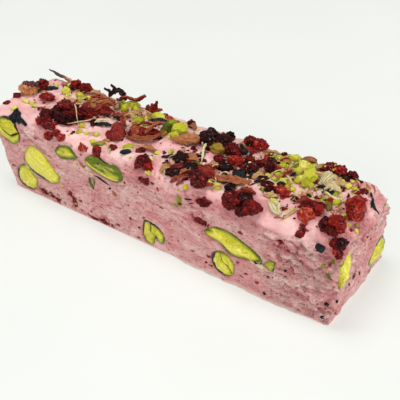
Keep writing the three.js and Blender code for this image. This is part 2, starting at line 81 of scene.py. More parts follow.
class Shade:
    """A socket in a tree of nodes. Its operators add Math nodes; node() adds any other node."""

    def __init__(self, tree, socket=None):
        self.tree = tree
        self.socket = socket

    def node(self, kind, settings=None, inputs=None, output=0):
        made = self.tree.nodes.new("ShaderNode" + kind)
        for key, value in (settings or {}).items():
            setattr(made, key, value)
        for key, value in (inputs or {}).items():
            if isinstance(value, Shade):
                self.tree.links.new(value.socket, made.inputs[key])
            else:
                made.inputs[key].default_value = value
        return Shade(self.tree, made.outputs[output])

    def math(self, operation, *values):
        return self.node("Math", {"operation": operation}, dict(enumerate(values)))

    def __add__(self, other):
        return self.math("ADD", self, other)

    def __sub__(self, other):
        return self.math("SUBTRACT", self, other)

    def __rsub__(self, other):
        return self.math("SUBTRACT", other, self)

    def __mul__(self, other):
        return self.math("MULTIPLY", self, other)

    __radd__ = __add__
    __rmul__ = __mul__

    def between(self, low, high):
        """0 at low, 1 at high, eased between them."""
        settings = {"interpolation_type": "SMOOTHSTEP"}
        return self.node("MapRange", settings, {0: self, 1: low, 2: high, 3: 0, 4: 1})

    def blend(self, first, second):
        """The first colour where this is 0, the second where it is 1."""
        return self.node("Mix", {"data_type": "RGBA"}, {0: self, 6: first, 7: second}, output=2)

    def tints(self, colour, *steps):
        """The colour, then each step's colour as this rises from the step's low to its high."""
        for low, high, tint in steps:
            colour = self.between(low, high).blend(colour, paint(*tint))
        return colour

    def mask(self, name):
        """A value painted on the mesh's points."""
        return self.node("Attribute", {"attribute_name": name}, output=2)

    def place(self, stretch=(1, 1, 1)):
        """The point's place in millimetres, divided by stretch along each axis."""
        here = self.node("TexCoord", output=3)
        scale = tuple(1 / (MM * part) for part in stretch)
        return self.node("VectorMath", {"operation": "MULTIPLY"}, {0: here, 1: scale})

    def cloud(self, size, stretch=(1, 1, 1), detail=3, rough=0.55, warp=0):
        """Soft noise from 0 to 1 with lumps of about this size in millimetres."""
        inputs = {0: self.place(stretch), 2: 1 / size, 3: detail, 4: rough, 8: warp}
        return self.node("TexNoise", inputs=inputs)

    def bump(self, height, depth):
        """A normal roughened by a height from 0 to 1, depth millimetres deep."""
        return self.node("Bump", inputs={0: 1, 1: depth * MM, 3: height})


GLOW_REACH = 1.5


def paint(red, green, blue):
    """A colour given as it shows on a screen, 0 to 255."""
    shown = [part / 255 for part in (red, green, blue)]
    linear = [part / 12.92 if part <= 0.04045 else ((part + 0.055) / 1.055) ** 2.4 for part in shown]
    return (*linear, 1)


def finish(name, roughness, shine=0.5, coat=0, coat_roughness=0.2, glow_through=0, depth=(1, 0.5, 0.4)):
    """A new material, its node tree as a Shade, and its shader node."""
    material = bpy.data.materials.new(name)
    material.use_nodes = True
    shader = material.node_tree.nodes["Principled BSDF"]
    constants = {
        "Roughness": roughness,
        "Specular IOR Level": shine,
        "Coat Weight": coat,
        "Coat Roughness": coat_roughness,
        "Subsurface Weight": glow_through,
        "Subsurface Radius": depth,
        "Subsurface Scale": GLOW_REACH * MM,
    }
    for socket, value in constants.items():
        shader.inputs[socket].default_value = value
    return material, Shade(material.node_tree), shader


def wire(shade, shader, **inputs):
    """Links shades to the shader's sockets; a name's underscore stands for a space."""
    for name, value in inputs.items():
        shade.tree.links.new(value.socket, shader.inputs[name.replace("_", " ")])


BOARD_REACH = 3.0
BOARD_GLOW = 0.49
ROOM_LIGHT = 0.28
BAR_MIDDLE = Vector((0, 0, 0.015))


board_paint, board, board_shader = finish("board_white", roughness=0.6)
board_tint = board.cloud(90, detail=2).between(0.3, 0.7).blend(paint(168, 170, 167), paint(173, 175, 172))
wire(board, board_shader, Base_Color=board_tint)
board_shader.inputs["Emission Color"].default_value = (0.985, 1, 0.955, 1)
board_shader.inputs["Emission Strength"].default_value = BOARD_GLOW
bpy.ops.mesh.primitive_grid_add(x_subdivisions=2, y_subdivisions=2, size=2 * BOARD_REACH)
floor = bpy.context.object
floor.name = "white_board"
floor.data.materials.append(board_paint)

room = bpy.data.worlds.new("bright_room")
room.use_nodes = True
room.node_tree.nodes["Background"].inputs["Color"].default_value = (0.97, 1, 0.98, 1)
room.node_tree.nodes["Background"].inputs["Strength"].default_value = ROOM_LIGHT
bpy.context.scene.world = room


def soft_light(name, place, size, watts):
    """A round soft light of this width in metres, turned to the bar."""
    data = bpy.data.lights.new(name, "AREA")
    data.shape = "DISK"
    data.size = size
    data.energy = watts
    light = bpy.data.objects.new(name, data)
    bpy.context.collection.objects.link(light)
    light.location = place
    light.rotation_euler = (BAR_MIDDLE - Vector(place)).to_track_quat("-Z", "Y").to_euler()


soft_light("overhead", (-0.1, 0, 0.8), 0.34, 3.1)
soft_light("left_of_camera", (-0.7, -0.35, 0.5), 0.3, 0.9)
soft_light("behind_camera", (0.3, -0.78, 0.45), 0.3, 2.1)
soft_light("right_of_camera", (0.8, 0, 0.4), 0.4, 3.3)


# ---------------------------------------------------------------- the nougat bar
# Whipped nougat coloured and flavoured with rose, poured as a slab and cut with a knife: the long
# sides and ends are drawn and torn by the blade, the top is the slab's smooth, rumpled skin.

LENGTH, WIDTH, HEIGHT = 121, 30, 28
SHOULDER, NEAR_ROLL, FAR_ROLL, FAR_LEAN, CUT_EDGE = 5, 4, 2.5, 4, 0.8
TOP_SWELLS = [
    (-44, -12, 9, 5, 0.9), (-22, -9, 8, 6, -0.7), (-4, -12, 9, 5, 0.8), (10, 3, 8, 8, 0.5),
    (24, -8, 7, 6, -0.5), (50, -11, 8, 5, 1), (42, 6, 9, 7, 0.6), (-52, 6, 8, 8, 0.4),
]
SHOULDER_SWELLS = [
    (51.5, -11.5, 5.5, 3.2, 0.75), (38, -12, 5, 2.6, 0.45), (29.5, -13, 4.5, 2.4, 0.5),
    (-3, -11, 6, 3, 0.5), (-30, -12.6, 6, 2.6, 0.45),
]
AROUND = 130
GRAIN_STEP = 0.42


def ramp(low, high, value):
    """0 at low, 1 at high and eased between them, whichever of the two is the larger."""
    t = np.clip((np.asarray(value, float) - low) / (high - low), 0, 1)
    return t * t * (3 - 2 * t)


def mound(offset, radius):
    return np.exp(-((np.asarray(offset) / radius) ** 2))


def rumple(u, v, phase):
    return (
        0.5 * np.sin(0.21 * u + 0.33 * v + phase)
        + 0.3 * np.sin(0.47 * u - 0.29 * v + 1.7 * phase)
        + 0.2 * np.sin(0.83 * u + 0.71 * v + 2.9 * phase)
    )


def top_swell(x, y):
    height = 0.35 * rumple(x, y, 1.3)
    for cx, cy, along, across, rise in TOP_SWELLS:
        height = height + rise * mound(x - cx, along) * mound(y - cy, across)
    return height


def settle(points):
    """Moves points of the plain rounded bar to where the real skin lies."""
    x, y, z = points.T
    half = LENGTH / 2
    near_end, far_end = ramp(half - 14, half, x), ramp(half - 14, half, -x)
    front, rear = ramp(4, WIDTH / 2, -y), ramp(4, WIDTH / 2, y)
    lean = FAR_LEAN - 2.5 + 1.5 * ramp(6, -6, y)
    far_bulge = -1 + 3 * ramp(0, 20, z) + ramp(18, 26, z) * lean + 0.3 * rumple(y, z, 2.2)
    crease = -0.8 * mound(z - 21, 1.6) * ramp(-9, -3, y) * ramp(17, 13, y)
    overhang = 0.9 * mound(z - 25, 3) * ramp(-4, 6, y)
    near_bulge = -ramp(5, 0, z) + crease + overhang + 1.2 * ramp(0, 20, z) * ramp(-8, -15, y)
    near_bulge = near_bulge + 0.35 * rumple(y, z, 0.7)
    pinch = -1.3 * mound(z - 23.5, 2.6) + mound(z - 18.5, 2.2) - mound(z - 12.5, 3)
    front_relief = (0.25 + 0.2 * ramp(43, 55, x)) * rumple(1.4 * x, 1.7 * z, 0.4)
    rear_relief = 0.3 * rumple(1.2 * x, 1.5 * z, 3.1) + near_end * pinch
    sideways = ramp(0, 4, z) * (rear * rear_relief - front * front_relief)
    sideways = sideways + 0.5 * z / HEIGHT + near_end * front * ramp(0, 18, z)
    lift = ramp(HEIGHT / 2, HEIGHT, z) * top_swell(x, y)
    return np.stack([x + near_end * near_bulge - far_end * far_bulge, y + sideways, z + lift], axis=1)


def rounding(radius, from_end):
    rest = np.maximum(0, radius - from_end)
    return radius - np.sqrt(radius * radius - rest * rest)


def evenly(curve, count, endpoint=True):
    """This many points at even steps along a curve."""
    walked = np.concatenate([[0], np.cumsum(np.linalg.norm(np.diff(curve, axis=0), axis=1))])
    even = np.linspace(0, walked[-1], count, endpoint=endpoint)
    return np.stack([np.interp(even, walked, axis) for axis in curve.T], axis=1)


def cut_across(x):
    """The bar's outline at x: counter-clockwise seen from +X, starting at the front base edge."""
    from_end = LENGTH / 2 - abs(x)
    half = WIDTH / 2 - rounding(CUT_EDGE, from_end)
    height = HEIGHT - rounding(NEAR_ROLL if x > 0 else FAR_ROLL, from_end)
    corners = [
        (half - CUT_EDGE, CUT_EDGE, CUT_EDGE, -90),
        (half - SHOULDER, height - SHOULDER, SHOULDER, 0),
        (-half + SHOULDER, height - SHOULDER, SHOULDER, 90),
        (-half + CUT_EDGE, CUT_EDGE, CUT_EDGE, 180),
    ]
    outline = []
    for cy, cz, radius, start in corners:
        for angle in np.radians(np.linspace(start, start + 90, 9)):
            outline.append((cy + radius * cos(angle), cz + radius * sin(angle)))
    ring = evenly(np.array([*outline, outline[0]]), AROUND, endpoint=False)
    return np.column_stack([np.full(AROUND, x), ring])


def skin_over(rings):
    """Points and faces of a closed skin over equal rings; the middle of each end ring closes it."""
    count = len(rings[0])
    points = np.vstack([*rings, np.mean(rings[0], axis=0), np.mean(rings[-1], axis=0)])
    faces = []
    for k in range(count):
        after = (k + 1) % count
        faces.append((len(points) - 2, after, k))
        faces.append((len(points) - 1, len(points) - 2 - count + k, len(points) - 2 - count + after))
        for ring in range(len(rings) - 1):
            low = ring * count
            faces.append((low + k, low + after, low + count + after, low + count + k))
    return points, faces


def bare_mesh(name, points, faces):
    mesh = bpy.data.meshes.new(name)
    mesh.from_pydata((np.asarray(points) * MM).tolist(), [], faces)
    mesh.validate()
    return mesh


def points_of(mesh):
    flat = np.empty(3 * len(mesh.vertices), dtype=np.float32)
    mesh.vertices.foreach_get("co", flat)
    return flat.reshape(-1, 3).astype(float) / MM


def remeshed(name, points, faces, step):
    """The same shape with an even skin of small squares."""
    rough = bpy.data.objects.new(name, bare_mesh(name, points, faces))
    bpy.context.collection.objects.link(rough)
    change = rough.modifiers.new("even", "REMESH")
    change.mode = "VOXEL"
    change.voxel_size = step * MM
    evaluated = rough.evaluated_get(bpy.context.evaluated_depsgraph_get())
    mesh = bpy.data.meshes.new_from_object(evaluated)
    coarse = rough.data
    bpy.data.objects.remove(rough)
    bpy.data.meshes.remove(coarse)
    return mesh


def make_piece(name, mesh, material, masks=None, stands_for=()):
    """Adds a mesh to the scene as a piece of the bar, with its masks painted on its points."""
    mesh.name = name
    for key, values in (masks or {}).items():
        painted = mesh.attributes.new(key, "FLOAT", "POINT")
        painted.data.foreach_set("value", np.asarray(values, dtype=np.float32))
    mesh.materials.clear()
    mesh.materials.append(material)
    mesh.shade_smooth()
    piece = bpy.data.objects.new(name, mesh)
    bpy.context.collection.objects.link(piece)
    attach(piece, "root")
    if stands_for:
        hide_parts(*stands_for)


def grain(points, size, seed=0, octaves=1):
    """Smooth noise at each point, about -1 to 1; size is one wave, or one for each axis."""
    scaled = np.asarray(points) / np.asarray(size) + seed
    return 1.6 * np.array([noise.fractal(point, 1, 2, octaves) for point in scaled.tolist()])


end_stations = np.array([0, 0.1, 0.25, 0.5, 0.9, 1.4, 2, 2.8, 3.6])
middle_stations = np.linspace(-LENGTH / 2 + 4.6, LENGTH / 2 - 4.6, 112)
stations = [*(end_stations - LENGTH / 2), *middle_stations, *(LENGTH / 2 - end_stations[::-1])]
bar_rings = [cut_across(x) for x in stations]
shrink = np.linspace(0.96, 0.06, 16)[:, None, None]
middle = np.array([0, 0, HEIGHT / 2])


def cap_rings(ring):
    squeezed = middle + (ring - middle) * shrink
    squeezed[:, :, 0] = ring[0, 0]
    return list(squeezed)


bar_rings = [*cap_rings(bar_rings[0])[::-1], *bar_rings, *cap_rings(bar_rings[-1])]
plain_points, plain_faces = skin_over([settle(ring) for ring in bar_rings])
plain_skin = BVHTree.FromPolygons(plain_points.tolist(), plain_faces)
bar_mesh = remeshed("nougat_bar", plain_points, plain_faces, GRAIN_STEP)
bar_points = points_of(bar_mesh)
bar_normals = np.empty(3 * len(bar_mesh.vertices), dtype=np.float32)
bar_mesh.vertex_normals.foreach_get("vector", bar_normals)
bar_normals = bar_normals.reshape(-1, 3).astype(float)

ABOVE, DOWN = 60, Vector((0, 0, -1))

# Each cut face's own axes: u along it, v up it, w straight out of it
FACES = {
    "front": np.array([(1.0, 0, 0), (0, -1, 0)]),
    "back": np.array([(-1.0, 0, 0), (0, 1, 0)]),
    "near": np.array([(0, 1.0, 0), (1, 0, 0)]),
    "far": np.array([(0, -1.0, 0), (-1, 0, 0)]),
}


EGG_TAPER = 0.18


def egg(cu, cv, length, width, turn):
    """An egg-shaped outline: centre, length, width, turn in degrees."""
    angle = np.linspace(0, 2 * pi, 10, endpoint=False)
    along = (length / 2) * np.cos(angle)
    across = (width / 2) * np.sin(angle) * (1 - EGG_TAPER * np.cos(angle))
    tilt = radians(turn)
    u = cu + along * cos(tilt) - across * sin(tilt)
    v = cv + along * sin(tilt) + across * cos(tilt)
    return np.stack([u, v], axis=1)


# Where the knife met each kernel: its face and its outline as u, v pairs, counter-clockwise
KERNELS = {
    "front_1": ("front", [(-62, 24), (-61.2, 20.6), (-58.5, 19.2), (-56, 18.2), (-53.6, 19.2),
        (-51.5, 21.3), (-50.9, 23.2), (-52.4, 25.2), (-54.2, 26.8), (-57.5, 27), (-60.5, 26.4)]),
    "front_2": ("front", [(-57.6, 5.6), (-56.9, 3.2), (-54.7, 1.9), (-52, 1.5), (-49.8, 2.5), (-48.1, 4.3),
        (-47.2, 6.8), (-48.2, 8.8), (-50, 10.6), (-52.2, 11.6), (-54.4, 10.5), (-56.2, 8.5)]),
    "front_3": ("front", [(-51.7, 13.6), (-50, 11.3), (-47.5, 9.5), (-44, 8.4), (-40.2, 8.4), (-36.8, 9.9),
        (-35.7, 12.6), (-37.5, 14.2), (-39.5, 16.6), (-41, 18.8), (-43.5, 20.1), (-46.8, 20.3),
        (-49, 18.6)]),
    "front_4": ("front", [(-35.1, 22.4), (-34.3, 21.1), (-32.3, 20.5), (-28.6, 21.4), (-25.4, 23),
        (-26.3, 24), (-27.4, 24.8), (-28.8, 25.5), (-31, 25.3), (-33.4, 24.4)]),
    "front_5": ("front", [(-22.2, 22.8), (-20.1, 21.2), (-16.3, 20.1), (-12.3, 19.7), (-9.5, 20.1),
        (-7.7, 21.5), (-7.3, 23), (-8.4, 24.8), (-10, 25.5), (-12.2, 25), (-15, 25.3), (-17.4, 25.8),
        (-19.8, 25.6), (-21.7, 24.3)]),
    "front_6": ("front", [(-1.9, 6.5), (-2.1, 4), (-1.4, 2), (0.2, 1.3), (1.6, 1.6), (2.2, 3.4), (2.9, 4.6),
        (3.9, 3.6), (5.2, 3.4), (6.1, 5), (6, 7.2), (4.6, 8.8), (2.5, 9.8), (0, 10.2), (-1.3, 9.3)]),
    "front_7": ("front", [(21.1, 15.3), (23.5, 14), (26.2, 13.5), (28.3, 11.7), (30.6, 10.8), (33.4, 11.1),
        (36, 11.8), (38.4, 12.5), (39.9, 13.7), (38.2, 15.1), (35.5, 16.5), (32, 18), (28.5, 18.7),
        (25.5, 18.5), (23, 17.2)]),
    "front_8": ("front", [(23, 5.9), (23.9, 3.8), (25.6, 2.4), (27.5, 2), (29.5, 3), (30.4, 5.2),
        (30.5, 7.6), (29.4, 9.8), (27.6, 10.8), (25.6, 10.3), (24, 9.1), (23, 7.5)]),
    "front_9": ("front", [(40.3, 13), (41.2, 11.8), (42.2, 11), (43.1, 11.6), (43.5, 13.4), (43.6, 14.9),
        (42.5, 14.6), (41.4, 13.9)]),
    "near_1": ("near", [(-16, 17.5), (-14.2, 14.3), (-12.8, 13), (-11.2, 13.8), (-9.5, 16.2), (-7.8, 18.4),
        (-6.9, 20.4), (-7.2, 22.4), (-8.8, 22.9), (-11, 22.4), (-13.2, 21.2), (-15.6, 19.4)]),
    "near_2": ("near", [(5.6, 7), (6.4, 5.5), (8, 4.4), (10.5, 3.3), (13, 3.1), (15.6, 3.8), (16.5, 6.4),
        (15, 9.2), (13, 11.2), (11, 11.5), (9, 10.5), (7, 8.9)]),
    "far_1": ("far", egg(3.5, 18.5, 11, 7, 25)),
    "far_2": ("far", egg(-6.5, 7, 9, 7.5, 100)),
    "back_1": ("back", egg(-51, 20.5, 14, 7, 160)),
    "back_2": ("back", egg(-38, 8, 10, 8, 60)),
    "back_3": ("back", egg(-21, 17, 16, 7.5, 12)),
    "back_4": ("back", egg(-4, 6.5, 11, 7, -30)),
    "back_5": ("back", egg(13, 19, 13, 6.5, 175)),
    "back_6": ("back", egg(29, 9, 15, 7.5, -20)),
}


def smooth_between(a, b, c, d, t):
    """Places from b to c on the smooth curve that passes a, b, c and d, at shares t of the way."""
    return 0.5 * (2 * b + (c - a) * t + (2 * a - 5 * b + 4 * c - d) * t**2 + (3 * b - a - 3 * c + d) * t**3)


def rounded(outline, count=96):
    """Evenly spaced points on a smooth closed curve through the outline's points."""
    p = np.asarray(outline, dtype=float)
    before, after, beyond = np.roll(p, 1, axis=0), np.roll(p, -1, axis=0), np.roll(p, -2, axis=0)
    t = np.linspace(0, 1, 12, endpoint=False)[:, None, None]
    curve = smooth_between(before, p, after, beyond, t).transpose(1, 0, 2).reshape(-1, 2)
    return evenly(np.vstack([curve, curve[:1]]), count, endpoint=False)


def distance_to_line(spots, line, closed=False):
    """How far each 2-D spot is from a line through points."""
    starts = np.asarray(line, dtype=float)
    ends = np.roll(starts, -1, axis=0)
    if not closed:
        starts, ends = starts[:-1], ends[:-1]
    step = ends - starts
    offset = spots[:, None, :] - starts
    t = np.clip((offset * step).sum(2) / (step * step).sum(1), 0, 1)
    return np.linalg.norm(offset - t[..., None] * step, axis=2).min(1)


def inside(spots, outline):
    """True where a spot lies inside a closed outline."""
    x, y = spots.T
    odd = np.zeros(len(spots), dtype=bool)
    for (ax, ay), (bx, by) in zip(outline, np.roll(outline, -1, axis=0)):
        crosses = (ay > y) != (by > y)
        odd ^= crosses & (x < (bx - ax) * (y - ay) / (by - ay + 1e-12) + ax)
    return odd


def signed_distance(spots, outline):
    away = distance_to_line(spots, outline, closed=True)
    return np.where(inside(spots, outline), -away, away)


outlines = {name: (face, rounded(points)) for name, (face, points) in KERNELS.items()}

# Folds and creases drawn into the cut faces by the knife: points, depth, half width
CREASES = {
    "front": [
        ([(-50, 25), (-45, 22.3), (-40, 20)], 0.5, 0.55),
        ([(-58, 17.5), (-52, 22), (-47.5, 22.5)], 0.3, 0.5),
        ([(-22.5, 20.4), (-19, 18.9), (-12, 18.7), (-7, 19.4)], 0.4, 0.35),
        ([(-7, 23.5), (-3, 22), (3, 20.5), (12, 20)], 0.25, 0.8),
        ([(40, 22.4), (43, 21.3), (45.3, 20.1), (47.6, 20.4), (49.4, 19.4), (50, 21.9), (48.5, 23.8)],
         0.8, 0.45),
        ([(49.4, 19.2), (51.1, 18.3), (53.3, 17.3), (55.4, 17.8), (57.2, 19.2)], 0.8, 0.45),
        ([(51, 23.6), (53, 21.6), (56, 22.4), (59.4, 21.4)], 0.6, 0.5),
        ([(44, 17.5), (47, 16), (50, 16.5), (53, 14.5)], 0.45, 0.35),
        ([(47, 9), (50, 7.5), (54, 7), (58, 4.5)], 0.45, 0.4),
        ([(40, 9), (44, 8), (47, 6.5)], 0.3, 0.35),
        ([(14, 9.8), (11, 10.4), (9, 9.7)], 0.25, 0.4),
    ],
    "near": [
        ([(-13, 17.8), (-5, 18.2), (3, 19.6), (9, 18.8)], 0.45, 0.35),
        ([(-14, 19.2), (-9, 23.4), (-4, 24.6)], 0.5, 0.4),
        ([(-4, 18.5), (3, 17), (8, 18.5), (13, 16.5)], 0.35, 0.4),
        ([(-12, 9), (-5, 10.5), (2, 8)], 0.25, 0.4),
    ],
    "back": [
        ([(-58, 22), (-45, 19), (-30, 22.5), (-14, 22)], 0.4, 0.5),
        ([(0, 21), (14, 14), (30, 18), (52, 15)], 0.4, 0.5),
    ],
    "far": [([(-13, 20), (-4, 22.5), (6, 21), (13, 23)], 0.4, 0.5)],
}

# The fold that runs over the near end: y and height along it
NEAR_FOLD = [(-8, 23.4), (-6.7, 23), (-1.1, 21.8), (5.9, 21.4), (13.2, 21.2), (16, 21.2)]

# Pits that dried fruit left in the cut faces: u, v, length, height, depth
PITS = {
    "front": [
        (-45, 3.3, 4.6, 2.3, 0.7), (-41.6, 2.8, 3.4, 2.2, 0.7), (-39.2, 2.1, 3.4, 2.2, 0.5),
        (-31.8, 7.2, 2.2, 2.6, 0.6), (-30.8, 4.4, 2.2, 4.2, 0.6), (-23.2, 1.3, 3.6, 1.6, 0.5),
        (-18.4, 1.5, 5, 2, 0.7), (1, 24.3, 5, 2.6, 0.9), (20, 18, 5, 2.4, 0.8), (50.5, 27.2, 2.2, 1.8, 0.6),
        (45.5, 22.5, 3, 1.1, 0.5), (21.5, 25.2, 4.4, 2, 0.6),
    ],
    "near": [(-3.3, 10.5, 1.3, 1.9, 0.4), (-13, 4.5, 0.9, 2, 0.4)],
    "back": [
        (-45, 13, 3.2, 1.6, 0.7), (-12, 22, 3.4, 1.4, 0.6), (5, 4, 2.6, 1.5, 0.6), (22, 20, 2.8, 1.4, 0.6),
        (40, 16, 3.4, 1.7, 0.7), (49, 5, 2.4, 1.2, 0.5),
    ],
    "far": [(9, 9, 2.4, 1.4, 0.5), (-10, 16, 2, 1.4, 0.5)],
}


def by_face(table):
    """The rows of a table that is kept face by face, each with its face in front."""
    return [(face, *row) for face, rows in table.items() for row in rows]


def box_of(node):
    """The lowest and highest corner of a solid, in millimetres."""
    return [np.array(corner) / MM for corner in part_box(node)]


def on_face(face):
    """The bar's points that face that way, their u, v places and how squarely they face it."""
    along, out = FACES[face]
    square = ramp(0.3, 0.7, bar_normals @ out)
    chosen = np.nonzero(square > 0)[0]
    spots = np.stack([bar_points[chosen] @ along, bar_points[chosen, 2]], axis=1)
    return chosen, spots, square[chosen]


bar_x, bar_y, bar_z = bar_points.T
rolled = ramp(28, 42, bar_x) * ramp(-9, -13, bar_y)
top_skin = ramp(0.5 - 0.3 * rolled, 0.9 - 0.35 * rolled, bar_normals[:, 2]) * ramp(10, 20, bar_z)
cut_skin = (1 - top_skin) * ramp(0.1, 1.4, bar_z)
end_facing = ramp(0.5, 0.8, np.abs(bar_normals[:, 0]))
torn = ramp(36, 48, bar_x) * ramp(25.5, 21, bar_z) * cut_skin * (1 - 0.65 * end_facing)
drawn_out = np.where(end_facing[:, None] > 0.5, [1.2, 3.2, 1.2], [3.2, 1.6, 1.2])
relief = cut_skin * (0.16 - 0.06 * end_facing) * grain(bar_points, drawn_out, 3.1, 4)
relief += cut_skin * 0.1 * grain(bar_points, [1.5, 1.2, 0.8], 8.4, 2)
relief += cut_skin * 0.22 * rolled * ramp(0, 0.5, grain(bar_points, [4.2, 3, 2.2], 2.6, 2))
ledges = grain(bar_points, drawn_out * [0.9, 1, 0.62], 21.7, 3) * 3.4
step = ledges - np.floor(ledges)
relief += torn * 0.2 * (np.floor(ledges) + ramp(0.7, 1, step) - 0.4)
crumpled = cut_skin * (0.25 + 0.75 * ramp(34, 46, bar_x))
relief += crumpled * (0.36 - 0.1 * end_facing) * grain(bar_points, [4.4, 3.4, 2.6], 33.1, 2)
cracks = np.abs(grain(bar_points + 0.8 * grain(bar_points, 3, 5.1)[:, None], [6, 4.2, 2.8], 17.2, 2))
cracks = ramp(0.09, 0, cracks) * ramp(-0.1, 0.35, grain(bar_points, 5, 41.3)) * crumpled
relief -= 0.4 * cracks
# The low parts of the cut faces' relief, painted darker in the shader as shade
sunken_shade = ramp(-0.06, -0.34, relief) * cut_skin
dents = 0.24 * grain(bar_points, [5, 3.6, 4.2], 5.5, 3)
relief += top_skin * (dents + 0.05 * grain(bar_points, 1.1, 1.2, 2))
wrinkle = np.abs(grain(bar_points, [8, 4.5, 5], 14.2, 2))
relief -= top_skin * 0.5 * ramp(0.16, 0, wrinkle) * ramp(-0.1, 0.4, grain(bar_points, 9, 3.3))
for x, y, along, across, rise in SHOULDER_SWELLS:
    relief += top_skin * rise * mound(bar_x - x, along) * mound(bar_y - y, across)
hollow = np.zeros(len(bar_points))
stain = np.zeros(len(bar_points))
rim_shade = 0.55 * cracks
for face, line, depth, half_width in by_face(CREASES):
    chosen, spots, square = on_face(face)
    wander = 0.5 * grain(bar_points[chosen], 2.2, 4.4, 2)[:, None] * np.array([0.3, 1])
    near_line = distance_to_line(spots + wander, line)
    relief[chosen] -= square * depth * mound(near_line, half_width)
    relief[chosen] += square * 0.4 * depth * mound(near_line - 2.2 * half_width, half_width)
    shadow = square * 0.9 * depth * mound(near_line, 0.8 * half_width)
    rim_shade[chosen] = np.maximum(rim_shade[chosen], shadow)
for face, cu, cv, length, height, depth in by_face(PITS):
    chosen, spots, square = on_face(face)
    ragged = 1 + 0.5 * grain(bar_points[chosen], 0.9, 6.2, 2)
    reach = np.hypot((spots[:, 0] - cu) / length * 2, (spots[:, 1] - cv) / height * 2) * ragged
    pit = square * ramp(1.25, 0.55, reach)
    relief[chosen] -= depth * pit
    hollow[chosen] = np.maximum(hollow[chosen], pit)
    stain[chosen] = np.maximum(stain[chosen], square * 0.7 * ramp(2.4, 0.9, reach))
for name, (face, outline) in outlines.items():
    chosen, spots, square = on_face(face)
    close = np.abs(spots - outline.mean(axis=0)).max(axis=1) < 14
    chosen, spots, square = chosen[close], spots[close], square[close]
    away = signed_distance(spots, outline)
    relief[chosen] *= 1 - square * ramp(0.9, 0.2, away)
    relief[chosen] -= square * (1.5 * ramp(0.05, -0.5, away) + 0.12 * mound(away - 0.15, 0.3))
    relief[chosen] += square * 0.14 * mound(away - 0.95, 0.5) * (1 + grain(bar_points[chosen], 2.5, 3.9))
    # A painted shade in the gap round each kernel, carried in rim_shade
    gap = 0.6 * square * ramp(0.55, 0.1, away) * ramp(-0.5, 0.4, grain(bar_points[chosen], 3, 8.8))
    rim_shade[chosen] = np.maximum(rim_shade[chosen], gap)
fold_height = np.interp(bar_y, *np.transpose(NEAR_FOLD))
over_fold = bar_z - fold_height - 0.4 * grain(bar_points, 3, 27.7, 2)
folded = ramp(0.4, 0.75, bar_normals[:, 0]) * ramp(-10, -5, bar_y)
upper_lip = 1.1 - ramp(6, 12, bar_y)
fold_form = upper_lip * mound(over_fold - 1.6, 1.2) - 2 * mound(over_fold + 0.15, 0.8)
relief += folded * (fold_form - 0.9 * mound(over_fold - 4.8, 1.8))
rim_shade = np.maximum(rim_shade, folded * mound(over_fold, 0.9))
relief -= ramp(6, 12, bar_y) * ramp(55, 59, bar_x) * mound(bar_z - 26, 2.2)
rumpled_end = ramp(53, 58, bar_x) * ramp(22, 26, bar_z) * (1 - cut_skin)
relief += rumpled_end * 0.3 * grain(bar_points, [1.6, 2.4, 1.6], 51.1, 3)
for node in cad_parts:
    if "berry" in node or node in ("raisin", "hibiscus", "rosehip"):
        low, high = (corner[:2] for corner in box_of(node))
        reach = np.hypot(*((bar_points[:, :2] - (low + high) / 2) / ((high - low) / 2 + 0.9)).T)
        juice = 0.75 * ramp(1.25, 0.85, reach + 0.2 * grain(bar_points, 1.5, 2.2))
        stain = np.maximum(stain, juice * ramp(HEIGHT - 8, HEIGHT - 4, bar_z))
relief *= ramp(0, 1.2, bar_z)
paper = ramp(1.3, 0.5, bar_z) * ramp(8, 14, bar_x) * ramp(54, 46, bar_x)
paper = paper * ramp(-0.4, -0.8, bar_normals[:, 1])
relief += paper * (0.55 + 0.3 * grain(bar_points, 3, 1.1))
bar_points = bar_points + bar_normals * relief[:, None]
bar_points[:, 2] = np.maximum(bar_points[:, 2], 0)
bar_mesh.vertices.foreach_set("co", (bar_points * MM).ravel().astype(np.float32))

bar_mesh.calc_loop_triangles()
corners = np.empty(3 * len(bar_mesh.loop_triangles), dtype=np.int32)
bar_mesh.loop_triangles.foreach_get("vertices", corners)
bar_skin = BVHTree.FromPolygons(bar_points.tolist(), corners.reshape(-1, 3).tolist())


def top_at(x, y):
    """The place of the top skin over x, y."""
    place = bar_skin.ray_cast(Vector((x, y, ABOVE)), DOWN)[0]
    return np.array(place or bar_skin.find_nearest(Vector((x, y, HEIGHT)))[0])


def side_at(face, u, v):
    """The place of a cut face at u, v."""
    along, out = (Vector(axis) for axis in FACES[face])
    return np.array(bar_skin.ray_cast(along * u + Vector((0, 0, v)) + out * 100, -out)[0])


nougat_paint, shade, shader = finish("rose_nougat", roughness=0.6, shine=0.25, glow_through=0.2)
cut = shade.mask("cut")
broad = shade.cloud(8, (1.5, 1, 1), detail=4).between(0.32, 0.68)
mottle = shade.cloud(1.5, (1.8, 1.2, 0.8), detail=5, rough=0.7).between(0.36, 0.64)
smudge = shade.cloud(2.6, (1.8, 1.2, 0.9), detail=4, rough=0.65, warp=0.4).between(0.53, 0.68)
fleck = shade.cloud(0.5, (1.6, 1, 0.8), detail=2, rough=0.7).between(0.56, 0.7)
smooth_pink = broad.blend(paint(253, 212, 206), paint(240, 182, 180))
smooth_pink = (smudge * 0.45).blend(smooth_pink, paint(228, 150, 152))
cut_pink = broad.blend(paint(252, 204, 198), paint(240, 172, 170))
cut_pink = (mottle * 0.5).blend(cut_pink, paint(218, 134, 134))
marble = shade.cloud(3.4, (1.7, 1.2, 0.9), detail=3, warp=0.9)
cut_pink = (marble.between(0.54, 0.66) * 0.6).blend(cut_pink, paint(255, 222, 214))
cut_pink = (marble.between(0.46, 0.38) * 0.45).blend(cut_pink, paint(212, 112, 116))
cut_pink = (smudge * 0.5).blend(cut_pink, paint(218, 96, 104))
cut_pink = (fleck * 0.6).blend(cut_pink, paint(255, 234, 226))
colour = cut.blend(smooth_pink, cut_pink)
